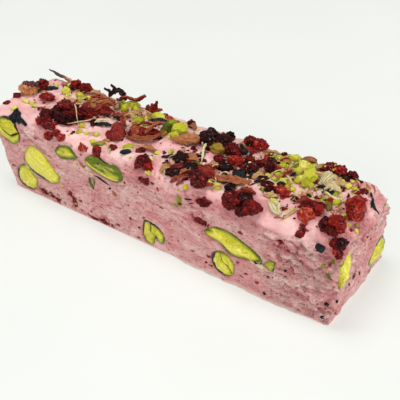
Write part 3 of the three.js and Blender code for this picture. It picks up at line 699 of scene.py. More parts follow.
blush = shade.cloud(12, (2, 1, 1), detail=2).between(0.54, 0.74) * cut
colour = (blush * 0.5).blend(colour, paint(232, 138, 136))
# Painted shade in the low parts of the cut relief
colour = (shade.mask("sunken_shade") * 0.3).blend(colour, paint(190, 88, 90))
# Torn flakes in layers: the raised flakes are painted paler as a painted highlight, and a thin line just
# below each flake's edge is painted dark as a painted shadow
torn_up = shade.cloud(1.9, (1.8, 1.2, 0.8), detail=3, rough=0.6, warp=1.1)
STEP_LEVELS = (0.4, 0.46, 0.52, 0.58)
steps = [torn_up.between(level, level + 0.014) for level in STEP_LEVELS]
flakes = sum(steps, 0) * 0.25
lip_shadows = sum((torn_up.between(level - 0.022, level) - step for level, step in zip(STEP_LEVELS, steps)), 0)
patchy = shade.cloud(4, detail=2).between(0.4, 0.6) * shade.mask("torn")
colour = (patchy * flakes * 0.6).blend(colour, paint(255, 226, 216))
colour = (patchy * lip_shadows.between(0.2, 0.8) * 0.6).blend(colour, paint(178, 68, 74))
speck_cells = {"feature": "F1", "distance": "EUCLIDEAN"}


def specks(size, share, spread, stretch, offset=0):
    """Small ragged dots, size across on a grid of spread millimetres, in this share of the cells."""
    warped = shade.node("VectorMath", {"operation": "ADD"}, {
        0: shade.place(stretch),
        1: shade.node("TexNoise", inputs={0: shade.place(), 2: 1.5, 3: 3, 4: 0.7}, output=1),
    })
    moved = shade.node("VectorMath", {"operation": "ADD"}, {0: warped, 1: (offset, offset, offset)})
    cell = shade.node("TexVoronoi", speck_cells, {0: moved, 2: 1 / spread}, output=0)
    chance = shade.node("TexVoronoi", speck_cells, {0: moved, 2: 1 / spread}, output=1)
    drawn = shade.node("SeparateColor", inputs={0: chance}, output=0)
    radius = size / spread
    return cell.between(radius, 0.55 * radius) * drawn.between(share, share - 0.04)


pores = specks(0.28, 0.6, 0.8, (1.5, 1.2, 0.9), 3.3) * cut
fine_specks = specks(0.32, 0.5, 1.3, (1.5, 1.2, 0.9))
bold_specks = specks(0.66, 0.42, 3, (1.7, 1.2, 0.9), 7.7)
# The pores are painted darker: painted shade in the pits they press into the bump
colour = (pores * 0.35).blend(colour, paint(172, 92, 96))
colour = (fine_specks * (cut * 0.55 + 0.2)).blend(colour, paint(164, 52, 58))
colour = (bold_specks * (cut * 0.85 + 0.12)).blend(colour, paint(132, 18, 28))
colour = (shade.mask("stain") * 0.6).blend(colour, paint(192, 84, 90))
# Painted shade in the cracks, the creases, the gaps round the kernels and the near end's fold
colour = (shade.mask("rim") * 0.7).blend(colour, paint(146, 62, 62))
patches = shade.cloud(0.9, detail=3, rough=0.7).between(0.42, 0.62)
fruit_red = patches.blend(paint(84, 8, 14), paint(168, 48, 38))
colour = shade.mask("hollow").between(0.1, 0.7).blend(colour, fruit_red)
colour = (shade.mask("paper") * 0.8).blend(colour, paint(240, 222, 212))
fine_height = shade.cloud(0.5, (1.6, 1, 0.7), detail=5, rough=0.75)
coarse_height = shade.cloud(1.8, (1.5, 1, 0.8), detail=3)
height = (fine_height * 0.5 + coarse_height * 0.4 - pores * 0.4) * (cut * 0.85 + 0.15)
height = height + flakes * (cut * 0.3 + shade.mask("torn") * 0.9)
wire(shade, shader, Base_Color=colour, Normal=shade.bump(height, 0.6))
wire(shade, shader, Roughness=mottle * 0.2 + cut * 0.16 + 0.3)
bar_masks = {
    "cut": np.maximum(cut_skin, 0.7 * rumpled_end),
    "hollow": hollow,
    "stain": stain,
    "rim": rim_shade,
    "sunken_shade": sunken_shade,
    "paper": paper,
    "torn": np.clip(torn + 0.25 * cut_skin, 0, 1),
}
make_piece("nougat_bar", bar_mesh, nougat_paint, bar_masks, stands_for=["nougat"])


# ---------------------------------------------------------------- pistachio kernels in the cut faces
# Whole kernels sliced by the knife, flush with the cut and swelling a little out of it: waxy yellow
# to green flesh, the split between the two seed leaves, and the dark purple-brown skin at the rim.

kernel_paint, shade, shader = finish("pistachio_flesh", roughness=0.34, shine=0.3, coat_roughness=0.1,
                                     glow_through=0.1)
green = shade.mask("green") + (shade.cloud(1.2, (1.5, 1, 1), detail=5, rough=0.7) - 0.5) * 0.55
flesh = green.tints(paint(255, 244, 96), (0, 0.4, (232, 222, 50)), (0.35, 0.65, (184, 186, 26)),
                    (0.62, 0.95, (104, 120, 4)))
flesh = (shade.mask("streak") * 0.35).blend(flesh, paint(250, 240, 118))
pores = shade.cloud(0.45, detail=4, rough=0.7).between(0.5, 0.66)
flesh = (pores * 0.14).blend(flesh, paint(122, 118, 12))
flesh = shade.mask("skin").tints(flesh, (0.1, 0.45, (96, 84, 10)), (0.4, 0.75, (52, 26, 18)))
wet = shade.cloud(1.2, detail=3).between(0.5, 0.62)
kernel_height = pores * 0.5 + shade.mask("streak") * 0.4 + shade.cloud(0.9, detail=3) * 0.4
wire(shade, shader, Base_Color=flesh, Normal=shade.bump(kernel_height, 0.35), Coat_Weight=wet * 0.5)

# For each kernel: how far it swells out, how green it is, which way its dark skin shows (degrees in
# the face, how far round, how wide), and its splits as points, width, and depth
KERNEL_LOOKS = {
    "front_1": (0.5, 0.58, (60, 90, 0.5), [([(-60.5, 24.5), (-58, 22.5), (-55.6, 21.2), (-53.6, 22.4)],
        0.35, 0.8), ([(-55.6, 21.2), (-51.3, 23.6)], 0.35, 0.9)]),
    "front_2": (0.6, 0.42, (215, 110, 0.8), []),
    "front_3": (0.8, 0.08, (245, 70, 0.9), [([(-48.5, 15.6), (-44, 14.2), (-38, 11.6)], 0.8, -0.15)]),
    "front_4": (0.5, 0.8, (190, 50, 0.1), [([(-33.5, 22.7), (-30.4, 22.9), (-28.2, 23.5)], 0.5, -0.2)]),
    "front_5": (0.9, 1.15, (100, 60, 0.1), [([(-21.6, 23.7), (-18.4, 22.6), (-14.6, 21.9), (-10.8, 21.3)],
        0.26, 0.5), ([(-12.2, 25.2), (-11.4, 24.2), (-8.2, 23.2)], 0.3, 0.35), ([(-17, 24.2),
        (-16.5, 23.8)], 0.35, 0.5), ([(-17.2, 22.5), (-16.4, 22.2)], 0.35, 0.4), ([(-13.4, 23.2),
        (-10.6, 22.4), (-8.6, 21.8)], 0.7, -0.25)]),
    "front_6": (0.9, 0.48, (120, 110, 0.4), [([(0.3, 10.4), (1.6, 7.4), (3, 4.4)], 0.3, 0.5)]),
    "front_7": (1.3, 0.6, (0, 1, 0), [([(24.5, 16.4), (30, 14.4), (36.5, 13.4)], 1.3, -0.25),
        ([(22.8, 16.2), (24.4, 16.6)], 0.5, 0.4)]),
    "front_8": (0.6, 0.32, (205, 110, 0.8), [([(25.6, 10.6), (27, 7.8), (28.6, 6.2), (29.4, 4)], 0.35,
        0.45), ([(28.2, 9.6), (28.9, 7.6)], 0.3, 0.3)]),
    "front_9": (0.35, 0.5, (300, 60, 0.1), []),
    "near_1": (1.4, 0.26, (-40, 60, 0.15), [([(-14.6, 15.2), (-11, 17.6), (-8.6, 20.4)], 0.3, 0.35)]),
    "near_2": (0.8, 0.42, (60, 120, 0.1), [([(6.6, 7), (10, 8), (14.5, 7.6)], 0.4, 0.25)]),
    "far_1": (0.5, 0.5, (40, 60, 0.8), []),
    "far_2": (0.4, 0.3, (200, 90, 0.9), [([(-7.2, 3.5), (-6, 10.5)], 0.3, 0.4)]),
    "back_1": (0.7, 0.7, (80, 90, 0.7), [([(-57, 22.6), (-45, 18.6)], 0.35, 0.5)]),
    "back_2": (0.5, 0.3, (240, 80, 1), []),
    "back_3": (0.8, 0.5, (100, 60, 0.8), [([(-28, 15.8), (-14, 18.4)], 0.35, 0.45)]),
    "back_4": (0.5, 0.35, (20, 80, 0.9), []),
    "back_5": (0.6, 0.6, (270, 60, 0.8), [([(7.6, 19.2), (18.6, 18.8)], 0.3, 0.4)]),
    "back_6": (0.8, 0.25, (190, 70, 1), []),
}
# How deep in the nougat each ring of a kernel's hidden part lies, and its size against the rim's
KERNEL_ROOT = [(0.5, 0.985), (1.3, 0.96), (2.4, 0.9), (3.4, 0.76), (4.2, 0.45)]
RIM_ROUND = 0.55
PALE_BELOW_SPLIT = {"front_5": 0.85}


def skin_depth(face, spots):
    """How far out the plain bar's skin lies at each u, v spot."""
    along, out = (Vector(axis) for axis in FACES[face])
    least = (LENGTH if face in ("near", "far") else WIDTH) / 2 - 1.6
    depths = []
    for u, v in spots.tolist():
        depth = 0
        while depth < least:
            place = plain_skin.ray_cast(along * u + Vector((0, 0, v)) + out * 100, -out)[0]
            depth = place.dot(out) if place else 0
            u -= copysign(0.2, u)
        depths.append(depth)
    return np.array(depths)


def front_edge(heights):
    """The y of the near end's front edge at each height."""
    steps = np.linspace(1, 24, 24)
    edge = [plain_skin.ray_cast(Vector((59, -60, z)), Vector((0, 1, 0)))[0].y + 0.3 for z in steps]
    return np.interp(heights, steps, edge)


def make_kernel(name):
    face, outline = outlines[name]
    swell, greenness, (skin_turn, skin_span, skin_width), splits = KERNEL_LOOKS[name]
    along, out = FACES[face]
    centre = outline.mean(axis=0)
    shares = np.sin(np.linspace(0.03, 1, 26) * pi / 2)
    rows = [centre + (outline - centre) * share for share in shares]
    spots = np.vstack(rows)
    if face == "near":
        spots[:, 0] = np.maximum(spots[:, 0], front_edge(spots[:, 1]))
    depths = skin_depth(face, spots)
    from_rim = np.abs(signed_distance(spots, outline))
    solid_spots = np.column_stack([spots, depths])
    rise = swell * ramp(0.5, 3.2, from_rim) - 0.14 * ramp(RIM_ROUND, 0, from_rim) ** 2
    spread = np.linalg.eigh(np.cov((outline - centre).T))[1][:, ::-1]
    own_grain = np.full(len(spots), 3.3 * len(name) + centre.sum())
    lengthwise = np.column_stack([(spots - centre) @ spread, own_grain])
    streak = grain(lengthwise, [5, 0.55, 1], 1.2, 2)
    rise += (0.1 * grain(lengthwise, [3, 1.4, 1], 2.2, 3) + 0.05 * streak) * ramp(0, 0.8, from_rim)
    split_shade_and_spots, ridge_highlight = np.zeros((2, len(spots)))
    # Each split is cut in as a groove and painted dark as shade in it; a few short ones stand for brown
    # spots on the flesh. Splits of negative depth are raised ridges, painted paler as a painted highlight.
    for line, width, depth in splits:
        gap = mound(distance_to_line(spots + 0.12 * grain(solid_spots, 1.5, 7.7)[:, None], line), width)
        rise -= depth * gap
        split_shade_and_spots = np.maximum(split_shade_and_spots, gap * min(1, 1.6 * max(depth, 0)))
        ridge_highlight = np.maximum(ridge_highlight, gap if depth < 0 else 0)
    angle = np.degrees(np.arctan2(*(spots - centre).T[::-1]))
    off_turn = np.abs((angle - skin_turn + 180) % 360 - 180)
    ragged = 0.25 * grain(solid_spots, 1.2, 9.1, 2)
    reach = 0.25 + skin_width * ramp(skin_span, 0.4 * skin_span, off_turn)
    facing_skin = 0.24 + 0.76 * ramp(skin_span, 0.3 * skin_span, off_turn)
    skin = ramp(reach, 0.7 * reach, from_rim + ragged * reach) * facing_skin
    skin = np.maximum(skin, 0.75 * split_shade_and_spots * ramp(0.3, 0.8, split_shade_and_spots))
    green = greenness + 0.2 * grain(lengthwise, [7, 2.4, 1], 4.4, 2) + 0.42 * ramp(1.3, 0.1, from_rim)
    tip = np.abs(lengthwise[:, 0]) / np.abs(lengthwise[:, 0]).max()
    green = green + 0.4 * split_shade_and_spots - 0.14 - 0.4 * ridge_highlight + 0.25 * ramp(0.62, 1, tip)
    if name in PALE_BELOW_SPLIT:
        seam = np.interp(spots[:, 0], *np.transpose(splits[0][0]))
        below = ramp(0.1, -0.5, spots[:, 1] - seam) * ramp(0.1, 0.6, from_rim)
        green = green - PALE_BELOW_SPLIT[name] * below
    front_rows = spots[:, :1] * along + np.column_stack([np.zeros((len(spots), 2)), spots[:, 1]])
    front_rows = front_rows + (depths + rise)[:, None] * out
    rim = front_rows[-len(outline):]
    middle_line = rim.mean(axis=0)
    rings = list(front_rows.reshape(len(shares), len(outline), 3))
    for depth, shrunk in KERNEL_ROOT:
        rings.append(middle_line + (rim - middle_line) * shrunk - depth * out)
    walls = len(rings) - len(shares)
    points, faces = skin_over(rings)
    faces = [face[::-1] for face in faces]
    wall_green = np.tile(green[-len(outline):], walls)
    wall_skin = np.tile(skin[-len(outline):], walls)
    shown_streak = ramp(0.1, 0.7, streak) * ramp(0.2, 1.2, from_rim)
    masks = {
        "green": np.clip(np.concatenate([green, wall_green, [greenness, greenness]]), 0, 1),
        "skin": np.clip(np.concatenate([skin, wall_skin, [0, 0]]), 0, 1),
        "streak": np.concatenate([shown_streak, np.zeros(len(wall_skin) + 2)]),
    }
    mesh = bare_mesh("pistachio_" + name, points, faces)
    make_piece("pistachio_" + name, mesh, kernel_paint, masks, ["kernel_" + name])


for kernel_name in KERNELS:
    make_kernel(kernel_name)


# ---------------------------------------------------------------- dried berries
# Freeze-dried and air-dried red fruit pressed into the top: shrunken wrinkled berries, raspberry
# pieces still in their beads with small pale pips, and halves dried into long folds.

berry_paint, shade, shader = finish("dried_berry", roughness=0.5, shine=0.1, coat_roughness=0.07,
                                    glow_through=0.05)
tone = shade.mask("tone") + (shade.cloud(1.5, detail=4, rough=0.65) - 0.5) * 0.9
tone = tone + (shade.cloud(0.55, detail=3, rough=0.7) - 0.5) * 1.1
colour = tone.tints(paint(20, 3, 4), (0, 0.3, (84, 9, 11)), (0.25, 0.6, (160, 30, 24)),
                    (0.55, 0.95, (222, 116, 80)))
# Painted shade in the creases between the beads and in the folds
colour = (shade.mask("crease") * 0.92).blend(colour, paint(20, 4, 5))
# Small pale orange specks, partly dust on the fruit and partly painted highlight glints
dust_and_glints = shade.cloud(0.45, detail=3, rough=0.7).between(0.58, 0.72)
colour = (dust_and_glints * 0.35).blend(colour, paint(200, 92, 68))
colour = shade.mask("pip").blend(colour, paint(226, 196, 104))
pucker = shade.cloud(0.5, detail=3, rough=0.6)
wet = shade.cloud(0.8, detail=3).between(0.56, 0.66)
wire(shade, shader, Base_Color=colour, Normal=shade.bump(pucker, 0.3), Coat_Weight=wet)


def ball(level):
    """Directions and faces of an even unit sphere."""
    form = bmesh.new()
    bmesh.ops.create_icosphere(form, subdivisions=level, radius=1)
    directions = np.array([tuple(vert.co) for vert in form.verts])
    faces = [tuple(vert.index for vert in face.verts) for face in form.faces]
    form.free()
    return directions, faces


BALLS = {level: ball(level) for level in (2, 3, 4, 5, 6)}


def toward(angle):
    """The level direction at an angle in radians from X."""
    return np.array([cos(angle), sin(angle)])


def turned(points, turn):
    """Points turned about the upright axis, in degrees."""
    x, y = toward(radians(turn))
    return points @ np.array([[x, y, 0], [-y, x, 0], [0, 0, 1]])


class Heap:
    """Closed shells gathered into one mesh, each with masks painted on its points."""

    def __init__(self):
        self.points = []
        self.faces = []
        self.masks = []
        self.count = 0

    def add(self, points, faces, **masks):
        self.points.append(points)
        self.faces.extend(tuple(corner + self.count for corner in face) for face in faces)
        self.masks.append({key: np.broadcast_to(value, len(points)) for key, value in masks.items()})
        self.count += len(points)

    def make(self, name, material, slot, stands_for=()):
        painted = {}
        for key in sorted({key for masks in self.masks for key in masks}):
            parts = [masks.get(key, np.zeros(len(points))) for masks, points in zip(self.masks, self.points)]
            painted[key] = np.clip(np.concatenate(parts), 0, 1)
        mesh = bare_mesh(name, np.vstack(self.points), self.faces)
        make_piece(name, mesh, material, painted, stands_for)


def even_spots(count, seed):
    """Directions spread evenly over a sphere, a little shaken."""
    shake = np.random.default_rng(int(seed * 10))
    k = np.arange(count) + 0.5
    height = 1 - 2 * k / count
    around = pi * (1 + 5**0.5) * k
    flat = np.sqrt(1 - height * height)
    spots = np.stack([flat * np.cos(around), flat * np.sin(around), height], axis=1)
    spots += shake.normal(0, 0.35 / sqrt(count), spots.shape)
    return spots / np.linalg.norm(spots, axis=1)[:, None]


def lobe(size, seed, beads=0, folds=(1.6, 1.6, 1.6), depth=0.45, pips=0, level=5):
    """A dried lump of this size about the origin. beads is how many drupelets cover it, folds the
    spacing of its wrinkles along each axis, depth how deep they go, pips the share of beads with one."""
    directions, faces = BALLS[level]
    half = np.array(size) / 2
    bulk = 1 + 0.2 * grain(directions, 0.8, seed) + 0.1 * grain(directions, 0.4, seed + 3)
    rest = directions * half * bulk[:, None]
    crease, pip, push = np.zeros((3, len(rest)))
    if beads:
        centres = even_spots(beads, seed) * half
        gaps = np.linalg.norm(rest[:, None] - centres, axis=2)
        nearest, closest = gaps.argmin(axis=1), gaps.min(axis=1)
        bead = 1.15 * sqrt(4 * pi * np.prod(half) ** (2 / 3) / beads / pi)
        dome = np.sqrt(np.clip(1 - (closest / bead) ** 2, 0, 1))
        push += 0.5 * bead * (dome - 0.75) * (0.75 + 0.5 * grain(rest, 2, seed + 8))
        # The gaps between the beads, and below the troughs of the folds, make up the crease mask: painted
        # shade
        crease = np.maximum(crease, ramp(0.62, 0.25, dome))
        picked = np.random.default_rng(int(seed * 10) + 9).random(beads) < pips
        pip = picked[nearest] * ramp(0.36, 0.2, closest)
    wander = rest + 0.5 * np.stack([grain(rest, 2.2, seed + k) for k in (5, 6, 7)], axis=1)
    wave = np.abs(grain(wander, folds, seed + 1, 2))
    push -= depth * ramp(0.34, 0, wave)
    crease = np.maximum(crease, 0.8 * ramp(0.2, 0, wave))
    push += 0.16 * depth * grain(rest, 0.55, seed + 2, 2)
    outward = directions / half
    outward /= np.linalg.norm(outward, axis=1)[:, None]
    return rest + outward * push[:, None], faces, {"crease": crease, "pip": pip}


def seat(node, height):
    """The place of a lump of this height whose top is the top of its CAD node."""
    low, high = box_of(node)
    return np.array([(low[0] + high[0]) / 2, (low[1] + high[1]) / 2, high[2] - height / 2])


# Each berry: its lobes as offset from the middle, size, turn, tone from black to orange-red, and form
BERRIES = {
    "berry_far": [((-0.4, 0.3, 0), (3.8, 4, 4), 10, 0.36, {"beads": 16}), ((0.9, -0.6, -0.6), (2.8, 2.8, 3),
        30, 0.3, {"depth": 0.5})],
    "raisin": [((0, 0, 0), (6.4, 3.2, 2.4), 8, 0.42, {"folds": (4, 1, 1), "depth": 0.5})],
    "berry_crimson": [((0, 0, 0), (4.2, 3.6, 4), 60, 0.44, {"beads": 12, "depth": 0.3})],
    "berry_dusk": [((0, 0, 0), (4.6, 3.8, 3.8), 20, 0.34, {"depth": 0.55})],
    "raspberry_string": [((-1.6, 1.7, 0.3), (4.2, 4, 3.8), 0, 0.2, {"beads": 14, "depth": 0.4}),
        ((0.4, -0.3, -0.2), (4.6, 3.6, 3.4), -40, 0.26, {"beads": 14, "depth": 0.4}), ((1.9, -2, -0.6),
        (3, 2.6, 2.8), 0, 0.36, {"beads": 9, "depth": 0.3}), ((-2, -1.5, -0.8), (4.2, 1.4, 1.5), -35, 0.5,
        {"folds": (3, 0.8, 0.8)}), ((3.9, -1.6, -1), (2.6, 2.4, 2.4), 0, 0.4, {"beads": 8, "depth": 0.2})],
    "crumb_red_front": [((-1.4, 0.4, 0), (2.6, 2.6, 2.6), 15, 0.5, {"folds": (1.2, 0.8, 0.8)}),
        ((1.3, -0.3, -0.3), (2.7, 2.8, 2.6), 40, 0.52, {"beads": 8, "depth": 0.3})],
    "berry_front": [((-0.4, 0.2, 0.1), (5, 4.6, 4), 30, 0.26, {"folds": (2.4, 1.1, 1.1), "depth": 0.55}),
        ((1.9, -0.6, -0.6), (3, 2.8, 2.6), 0, 0.42, {"depth": 0.4})],
    "berry_black": [((-2.2, 0.4, 0.2), (5.8, 6.6, 5), 0, 0.03, {"beads": 34, "depth": 0.35, "level": 6}),
        ((2.2, 0.6, 0), (6, 6.4, 4.6), 20, 0.08, {"beads": 30, "depth": 0.35, "level": 6}),
        ((0.2, -2.2, -0.6), (5.4, 3.6, 3.6), 0, 0.05, {"beads": 20, "depth": 0.3})],
    "berry_black_small": [((0, 0, 0), (5, 4.2, 4), -20, 0.24, {"beads": 18, "depth": 0.4})],
    "berry_bright": [((0, 0, 0), (5, 3.2, 3), 20, 0.5, {"folds": (2.4, 0.9, 0.9)})],
    "berry_back": [((-1.9, 0, 0.1), (3.8, 4, 4), 0, 0.3, {"depth": 0.5}), ((1.6, 0.1, 0), (4.6, 4, 3.8), 20,
        0.48, {"folds": (2.2, 1, 1), "depth": 0.5})],
    "berry_round": [((0, 0, 0), (4.6, 4.2, 3.2), 0, 0.16, {"depth": 0.5})],
    "berry_round_back": [((-0.4, 0, 0), (3.6, 3.2, 3), 40, 0.2, {"beads": 12}), ((1.4, 0.4, -0.2),
        (2.4, 2.2, 2.2), 0, 0.4, {})],
    "berry_maroon": [((0.3, -0.1, 0), (5, 4.8, 4), 0, 0.26, {"beads": 60, "depth": 0.3,
        "folds": (1.2, 1.2, 1.2)})],
    "berry_striped": [((-3.2, -0.9, 0.1), (5.2, 5.4, 4.8), 0, 0.3, {"folds": (5, 0.7, 5), "depth": 0.5}),
        ((-0.4, 1, 0.2), (4.8, 4.6, 4.4), 0, 0.04, {"folds": (0.7, 4, 4), "depth": 0.5}), ((2.6, -0.4, 0),
        (5.4, 4.4, 4), -10, 0.34, {"folds": (5, 0.6, 5), "depth": 0.5}), ((-2.2, 2.2, 0.2), (4.6, 3, 3.4),
        20, 0.36, {"folds": (3, 0.8, 0.8)}), ((0.8, -2.2, -0.8), (4, 3, 3), 0, 0.14, {})],
    "berry_back_near": [((-1.4, -0.2, 0), (4, 3.8, 4), 0, 0.38, {"beads": 20, "pips": 0.5, "depth": 0.35}),
        ((1.4, 0.1, -0.2), (3.8, 3.6, 3.6), 0, 0.42, {"beads": 18, "pips": 0.5, "depth": 0.35})],
    "berry_back_end": [((-0.6, 0, -0.5), (3.6, 3, 2.6), -20, 0.2, {"beads": 18, "pips": 0.2})],
    "raspberry_half": [((-0.1, 0.4, 0), (4.8, 8.6, 4.6), 22, 0.46, {"folds": (1.3, 3.8, 2.2), "depth": 0.5,
        "level": 6}), ((1.2, -0.8, 0.1), (2.6, 5.4, 4.2), 16, 0.6, {"folds": (0.8, 3, 1.8),
        "depth": 0.35})],
    "berry_long": [((-0.5, 1.4, 0.1), (6, 3.2, 3.5), 25, 0.26, {"folds": (4, 1, 1), "depth": 0.5}),
        ((0.6, 0.8, 0.1), (3.9, 3.8, 3.8), 0, 0.44, {"beads": 18, "depth": 0.35}), ((-0.3, -2.3, 0),
        (4, 4.4, 3.6), 10, 0.66, {"folds": (1.4, 3.4, 1.4), "depth": 0.3})],
    "berry_near": [((-1.9, -0.8, -0.3), (3.2, 3.8, 3.6), 0, 0.14, {"folds": (2.6, 1.2, 1.2),
        "depth": 0.45}), ((0.9, 0.3, 0.1), (4.2, 5.2, 4.4), 22, 0.42, {"folds": (0.9, 3.2, 1.4),
        "depth": 0.5}), ((0.2, -2, -0.8), (3.8, 2.2, 2.4), 0, 0.24, {"folds": (2.4, 0.8, 0.8)})],
    "berry_corner": [((-1, 0.4, 0.8), (2.6, 3, 3), 0, 0.36, {"folds": (1.2, 1.2, 1.2), "depth": 0.35}),
        ((0.5, 0.7, 0.8), (2.8, 3.6, 4), 0, 0.12, {"folds": (1.6, 1, 1), "depth": 0.45}),
        ((-0.2, -0.8, -0.9), (2, 2, 2.4), 0, 0.62, {"folds": (1.4, 1, 1), "depth": 0.3}), ((0.6, -0.6, -2),
        (1.8, 2.6, 3.4), 0, 0.26, {"folds": (2, 1, 1), "depth": 0.3})],
}

for index, (name, lobes) in enumerate(BERRIES.items()):
    heap = Heap()
    place = seat(name, lobes[0][1][2])
    for k, (offset, size, turn, tone, form) in enumerate(lobes):
        points, faces, masks = lobe(size, 3.7 * index + 1.3 * k, **form)
        heap.add(turned(points, turn) + place + offset, faces, tone=tone, **masks)
    low, high = (corner[2] for corner in box_of(name))
    pressed_flat = min(1, (high - low) / (max(points[:, 2].max() for points in heap.points) - low))
    for points in heap.points:
        points[:, 2] = low + (points[:, 2] - low) * pressed_flat
    heap.make(name + "_dried", berry_paint, "berry", [name])


# ---------------------------------------------------------------- petals, leaves and the twig
# Dried hibiscus and rose petals: thin, veined, crumpled as they dried and stuck on by the soft
# nougat, with their pale fibres pulled loose; a black curled leaf and a thin twig stand at the back.

petal_paint, shade, shader = finish("dried_petal", roughness=0.5, shine=0.12, coat_roughness=0.12,
                                    glow_through=0.1)
tone = shade.mask("tone") + (shade.cloud(0.8, (2.2, 1, 1), detail=4, rough=0.7) - 0.5) * 0.95
colour = tone.tints(paint(28, 3, 5), (0, 0.3, (112, 14, 19)), (0.28, 0.55, (158, 50, 42)),
                    (0.5, 0.76, (176, 104, 62)), (0.74, 1, (216, 174, 104)))
# Painted shade in the grooves: between the ribs and in the lumps' creases
colour = (shade.mask("rib") * 0.55).blend(colour, paint(50, 12, 14))
# The petals' edges are painted paler: partly pale fibre, partly painted highlight
colour = (shade.mask("edge") * tone.between(0.3, 0.8) * 0.5).blend(colour, paint(214, 140, 104))
fibre = shade.cloud(0.35, (1.6, 1.6, 1.6), detail=4, rough=0.65)
wet = shade.cloud(0.9, detail=3).between(0.54, 0.66)
wire(shade, shader, Base_Color=colour, Normal=shade.bump(fibre, 0.25), Coat_Weight=wet * 0.4)


def curve_through(route, count):
    """Evenly spaced points on a smooth curve through the route's points."""
    p = np.asarray(route, dtype=float)
    p = np.vstack([2 * p[0] - p[1], p, 2 * p[-1] - p[-2]])
    t = np.linspace(0, 1, 12, endpoint=False)[:, None]
    bends = [smooth_between(a, b, c, d, t) for a, b, c, d in zip(p, p[1:], p[2:], p[3:])]
    return evenly(np.vstack([*bends, p[-2:-1]]), count)


def frame_along(line, lean=0):
    """The directions sideways and upward at each point of a line, tipped about it by lean degrees."""
    ahead = np.gradient(line, axis=0)
    ahead /= np.linalg.norm(ahead, axis=1)[:, None] + 1e-9
    side = np.cross([0, 0, 1], ahead)
    side /= np.linalg.norm(side, axis=1)[:, None] + 1e-9
    up = np.cross(ahead, side)
    tip = radians(lean)
    return side * cos(tip) + up * sin(tip), up * cos(tip) - side * sin(tip)


def strand(route, radius, tips=(0.3, 0.3), seed=0, sides=7):
    """A thin strand along a route, its tips this much thinner than its middle."""
    route = np.asarray(route, dtype=float)
    length = np.linalg.norm(np.diff(route, axis=0), axis=1).sum()
    count = max(6, int(length / 0.55))
    line = curve_through(route, count)
    line = line + 0.4 * radius * np.stack([grain(line, 1.6, seed + k) for k in (1, 2, 3)], axis=1)
    side, up = frame_along(line)
    s = np.linspace(0, 1, count)
    thick = radius * (1 - (1 - tips[0]) * ramp(0.35, 0, s) - (1 - tips[1]) * ramp(0.65, 1, s))
    thick = thick * (1 + 0.2 * grain(line, 1.1, seed))
    angle = np.linspace(0, 2 * pi, sides, endpoint=False)[None, :, None]
    around = np.cos(angle) * side[:, None] + np.sin(angle) * up[:, None]
    return skin_over(list(line[:, None] + thick[:, None, None] * around))


def leaf(route, width, lean=0, cup=0, ruffle=0.3, ragged=0.15, thick=0.3, point=0.6, ribs=0, seed=0,
         rows=44, across=17):
    """A thin dried leaf, petal or husk along a route. lean tips it about the route in degrees, cup
    curls its edges up, ruffle buckles it, ragged tears its outline, point sharpens its ends and ribs
    run along it. Gives its points, faces and masks."""
    line = curve_through(route, rows)
    length = np.linalg.norm(np.diff(line, axis=0), axis=1).sum()
    side, up = frame_along(line, lean)
    s, v = np.meshgrid(np.linspace(0, 1, rows), np.linspace(-1, 1, across), indexing="ij")
    half = width / 2 * np.sin(pi * (0.05 + 0.9 * s)) ** point
    edges = np.stack([s * length, 3 * np.sign(v), np.zeros_like(s)], axis=2).reshape(-1, 3)
    torn_edge = grain(edges, 1.3, seed + 5, 2).reshape(s.shape)
    spread = half * v * (1 + ragged * torn_edge * np.abs(v))
    flat = np.stack([s * length, spread, np.zeros_like(s)], axis=2).reshape(-1, 3)
    buckle = ruffle * grain(flat, [2.6, 1.5, 1], seed, 2).reshape(s.shape)
    wave = 0 * s
    if ribs:
        wave = np.cos(pi * ribs * v + 2.4 * grain(flat, [3.5, 1.6, 1], seed + 2, 2).reshape(s.shape))
    rise = cup * (spread / (width / 2)) ** 2 + buckle + 0.35 * thick * wave
    body = thick / 2 * np.sqrt(1 - 0.96 * v * v)
    middle_sheet = line[:, None] + side[:, None] * spread[..., None]
    upper = (middle_sheet + up[:, None] * (rise + body)[..., None]).reshape(-1, 3)
    lower = (middle_sheet + up[:, None] * (rise - body)[..., None]).reshape(-1, 3)
    faces = []
    below = rows * across
    for r in range(rows - 1):
        for c in range(across - 1):
            here, after = r * across + c, (r + 1) * across + c
            faces.append((here, after, after + 1, here + 1))
            faces.append((below + here, below + here + 1, below + after + 1, below + after))
        left, right = r * across, r * across + across - 1
        faces.append((left, below + left, below + left + across, left + across))
        faces.append((right, right + across, below + right + across, below + right))
    last = (rows - 1) * across
    for c in range(across - 1):
        faces.append((c, c + 1, below + c + 1, below + c))
        faces.append((last + c, below + last + c, below + last + c + 1, last + c + 1))
    # The troughs between the ribs are painted darker as shade
    rib = np.clip(ramp(0.1, -0.8, wave), 0, 1) if ribs else 0 * s
    masks = {"rib": np.tile(rib.ravel(), 2), "edge": np.tile(ramp(0.82, 1, np.abs(v)).ravel(), 2)}
    return np.vstack([upper, lower]), faces, masks


def floated(route):
    """A route of x, y and height above the top skin as places in space."""
    return [(x, y, top_at(x, y)[2] + rise) for x, y, rise in route]


def add_leaf(heap, route, width, tone, free=False, **form):
    """Adds a leaf to the heap; free routes are places in space, others lie over the top skin."""
    points, faces, masks = leaf(route if free else floated(route), width, **form)
    heap.add(points, faces, tone=tone, **masks)


def add_strand(heap, route, radius, tone, free=False, **form):
    points, faces = strand(route if free else floated(route), radius, **form)
    heap.add(points, faces, tone=tone)


def arch(x, y, length, turn, heights):
    """A route of this length over x, y, turned in degrees, with heights at its ends and its middle."""
    ahead = length / 2 * toward(radians(turn))
    first, middle, last = heights
    return [(x - ahead[0], y - ahead[1], first), (x, y, middle), (x + ahead[0], y + ahead[1], last)]


def scatter(k, step=0.618):
    """Shares between 0 and 1 that keep apart from each other as k counts up."""
    return k * step % 1


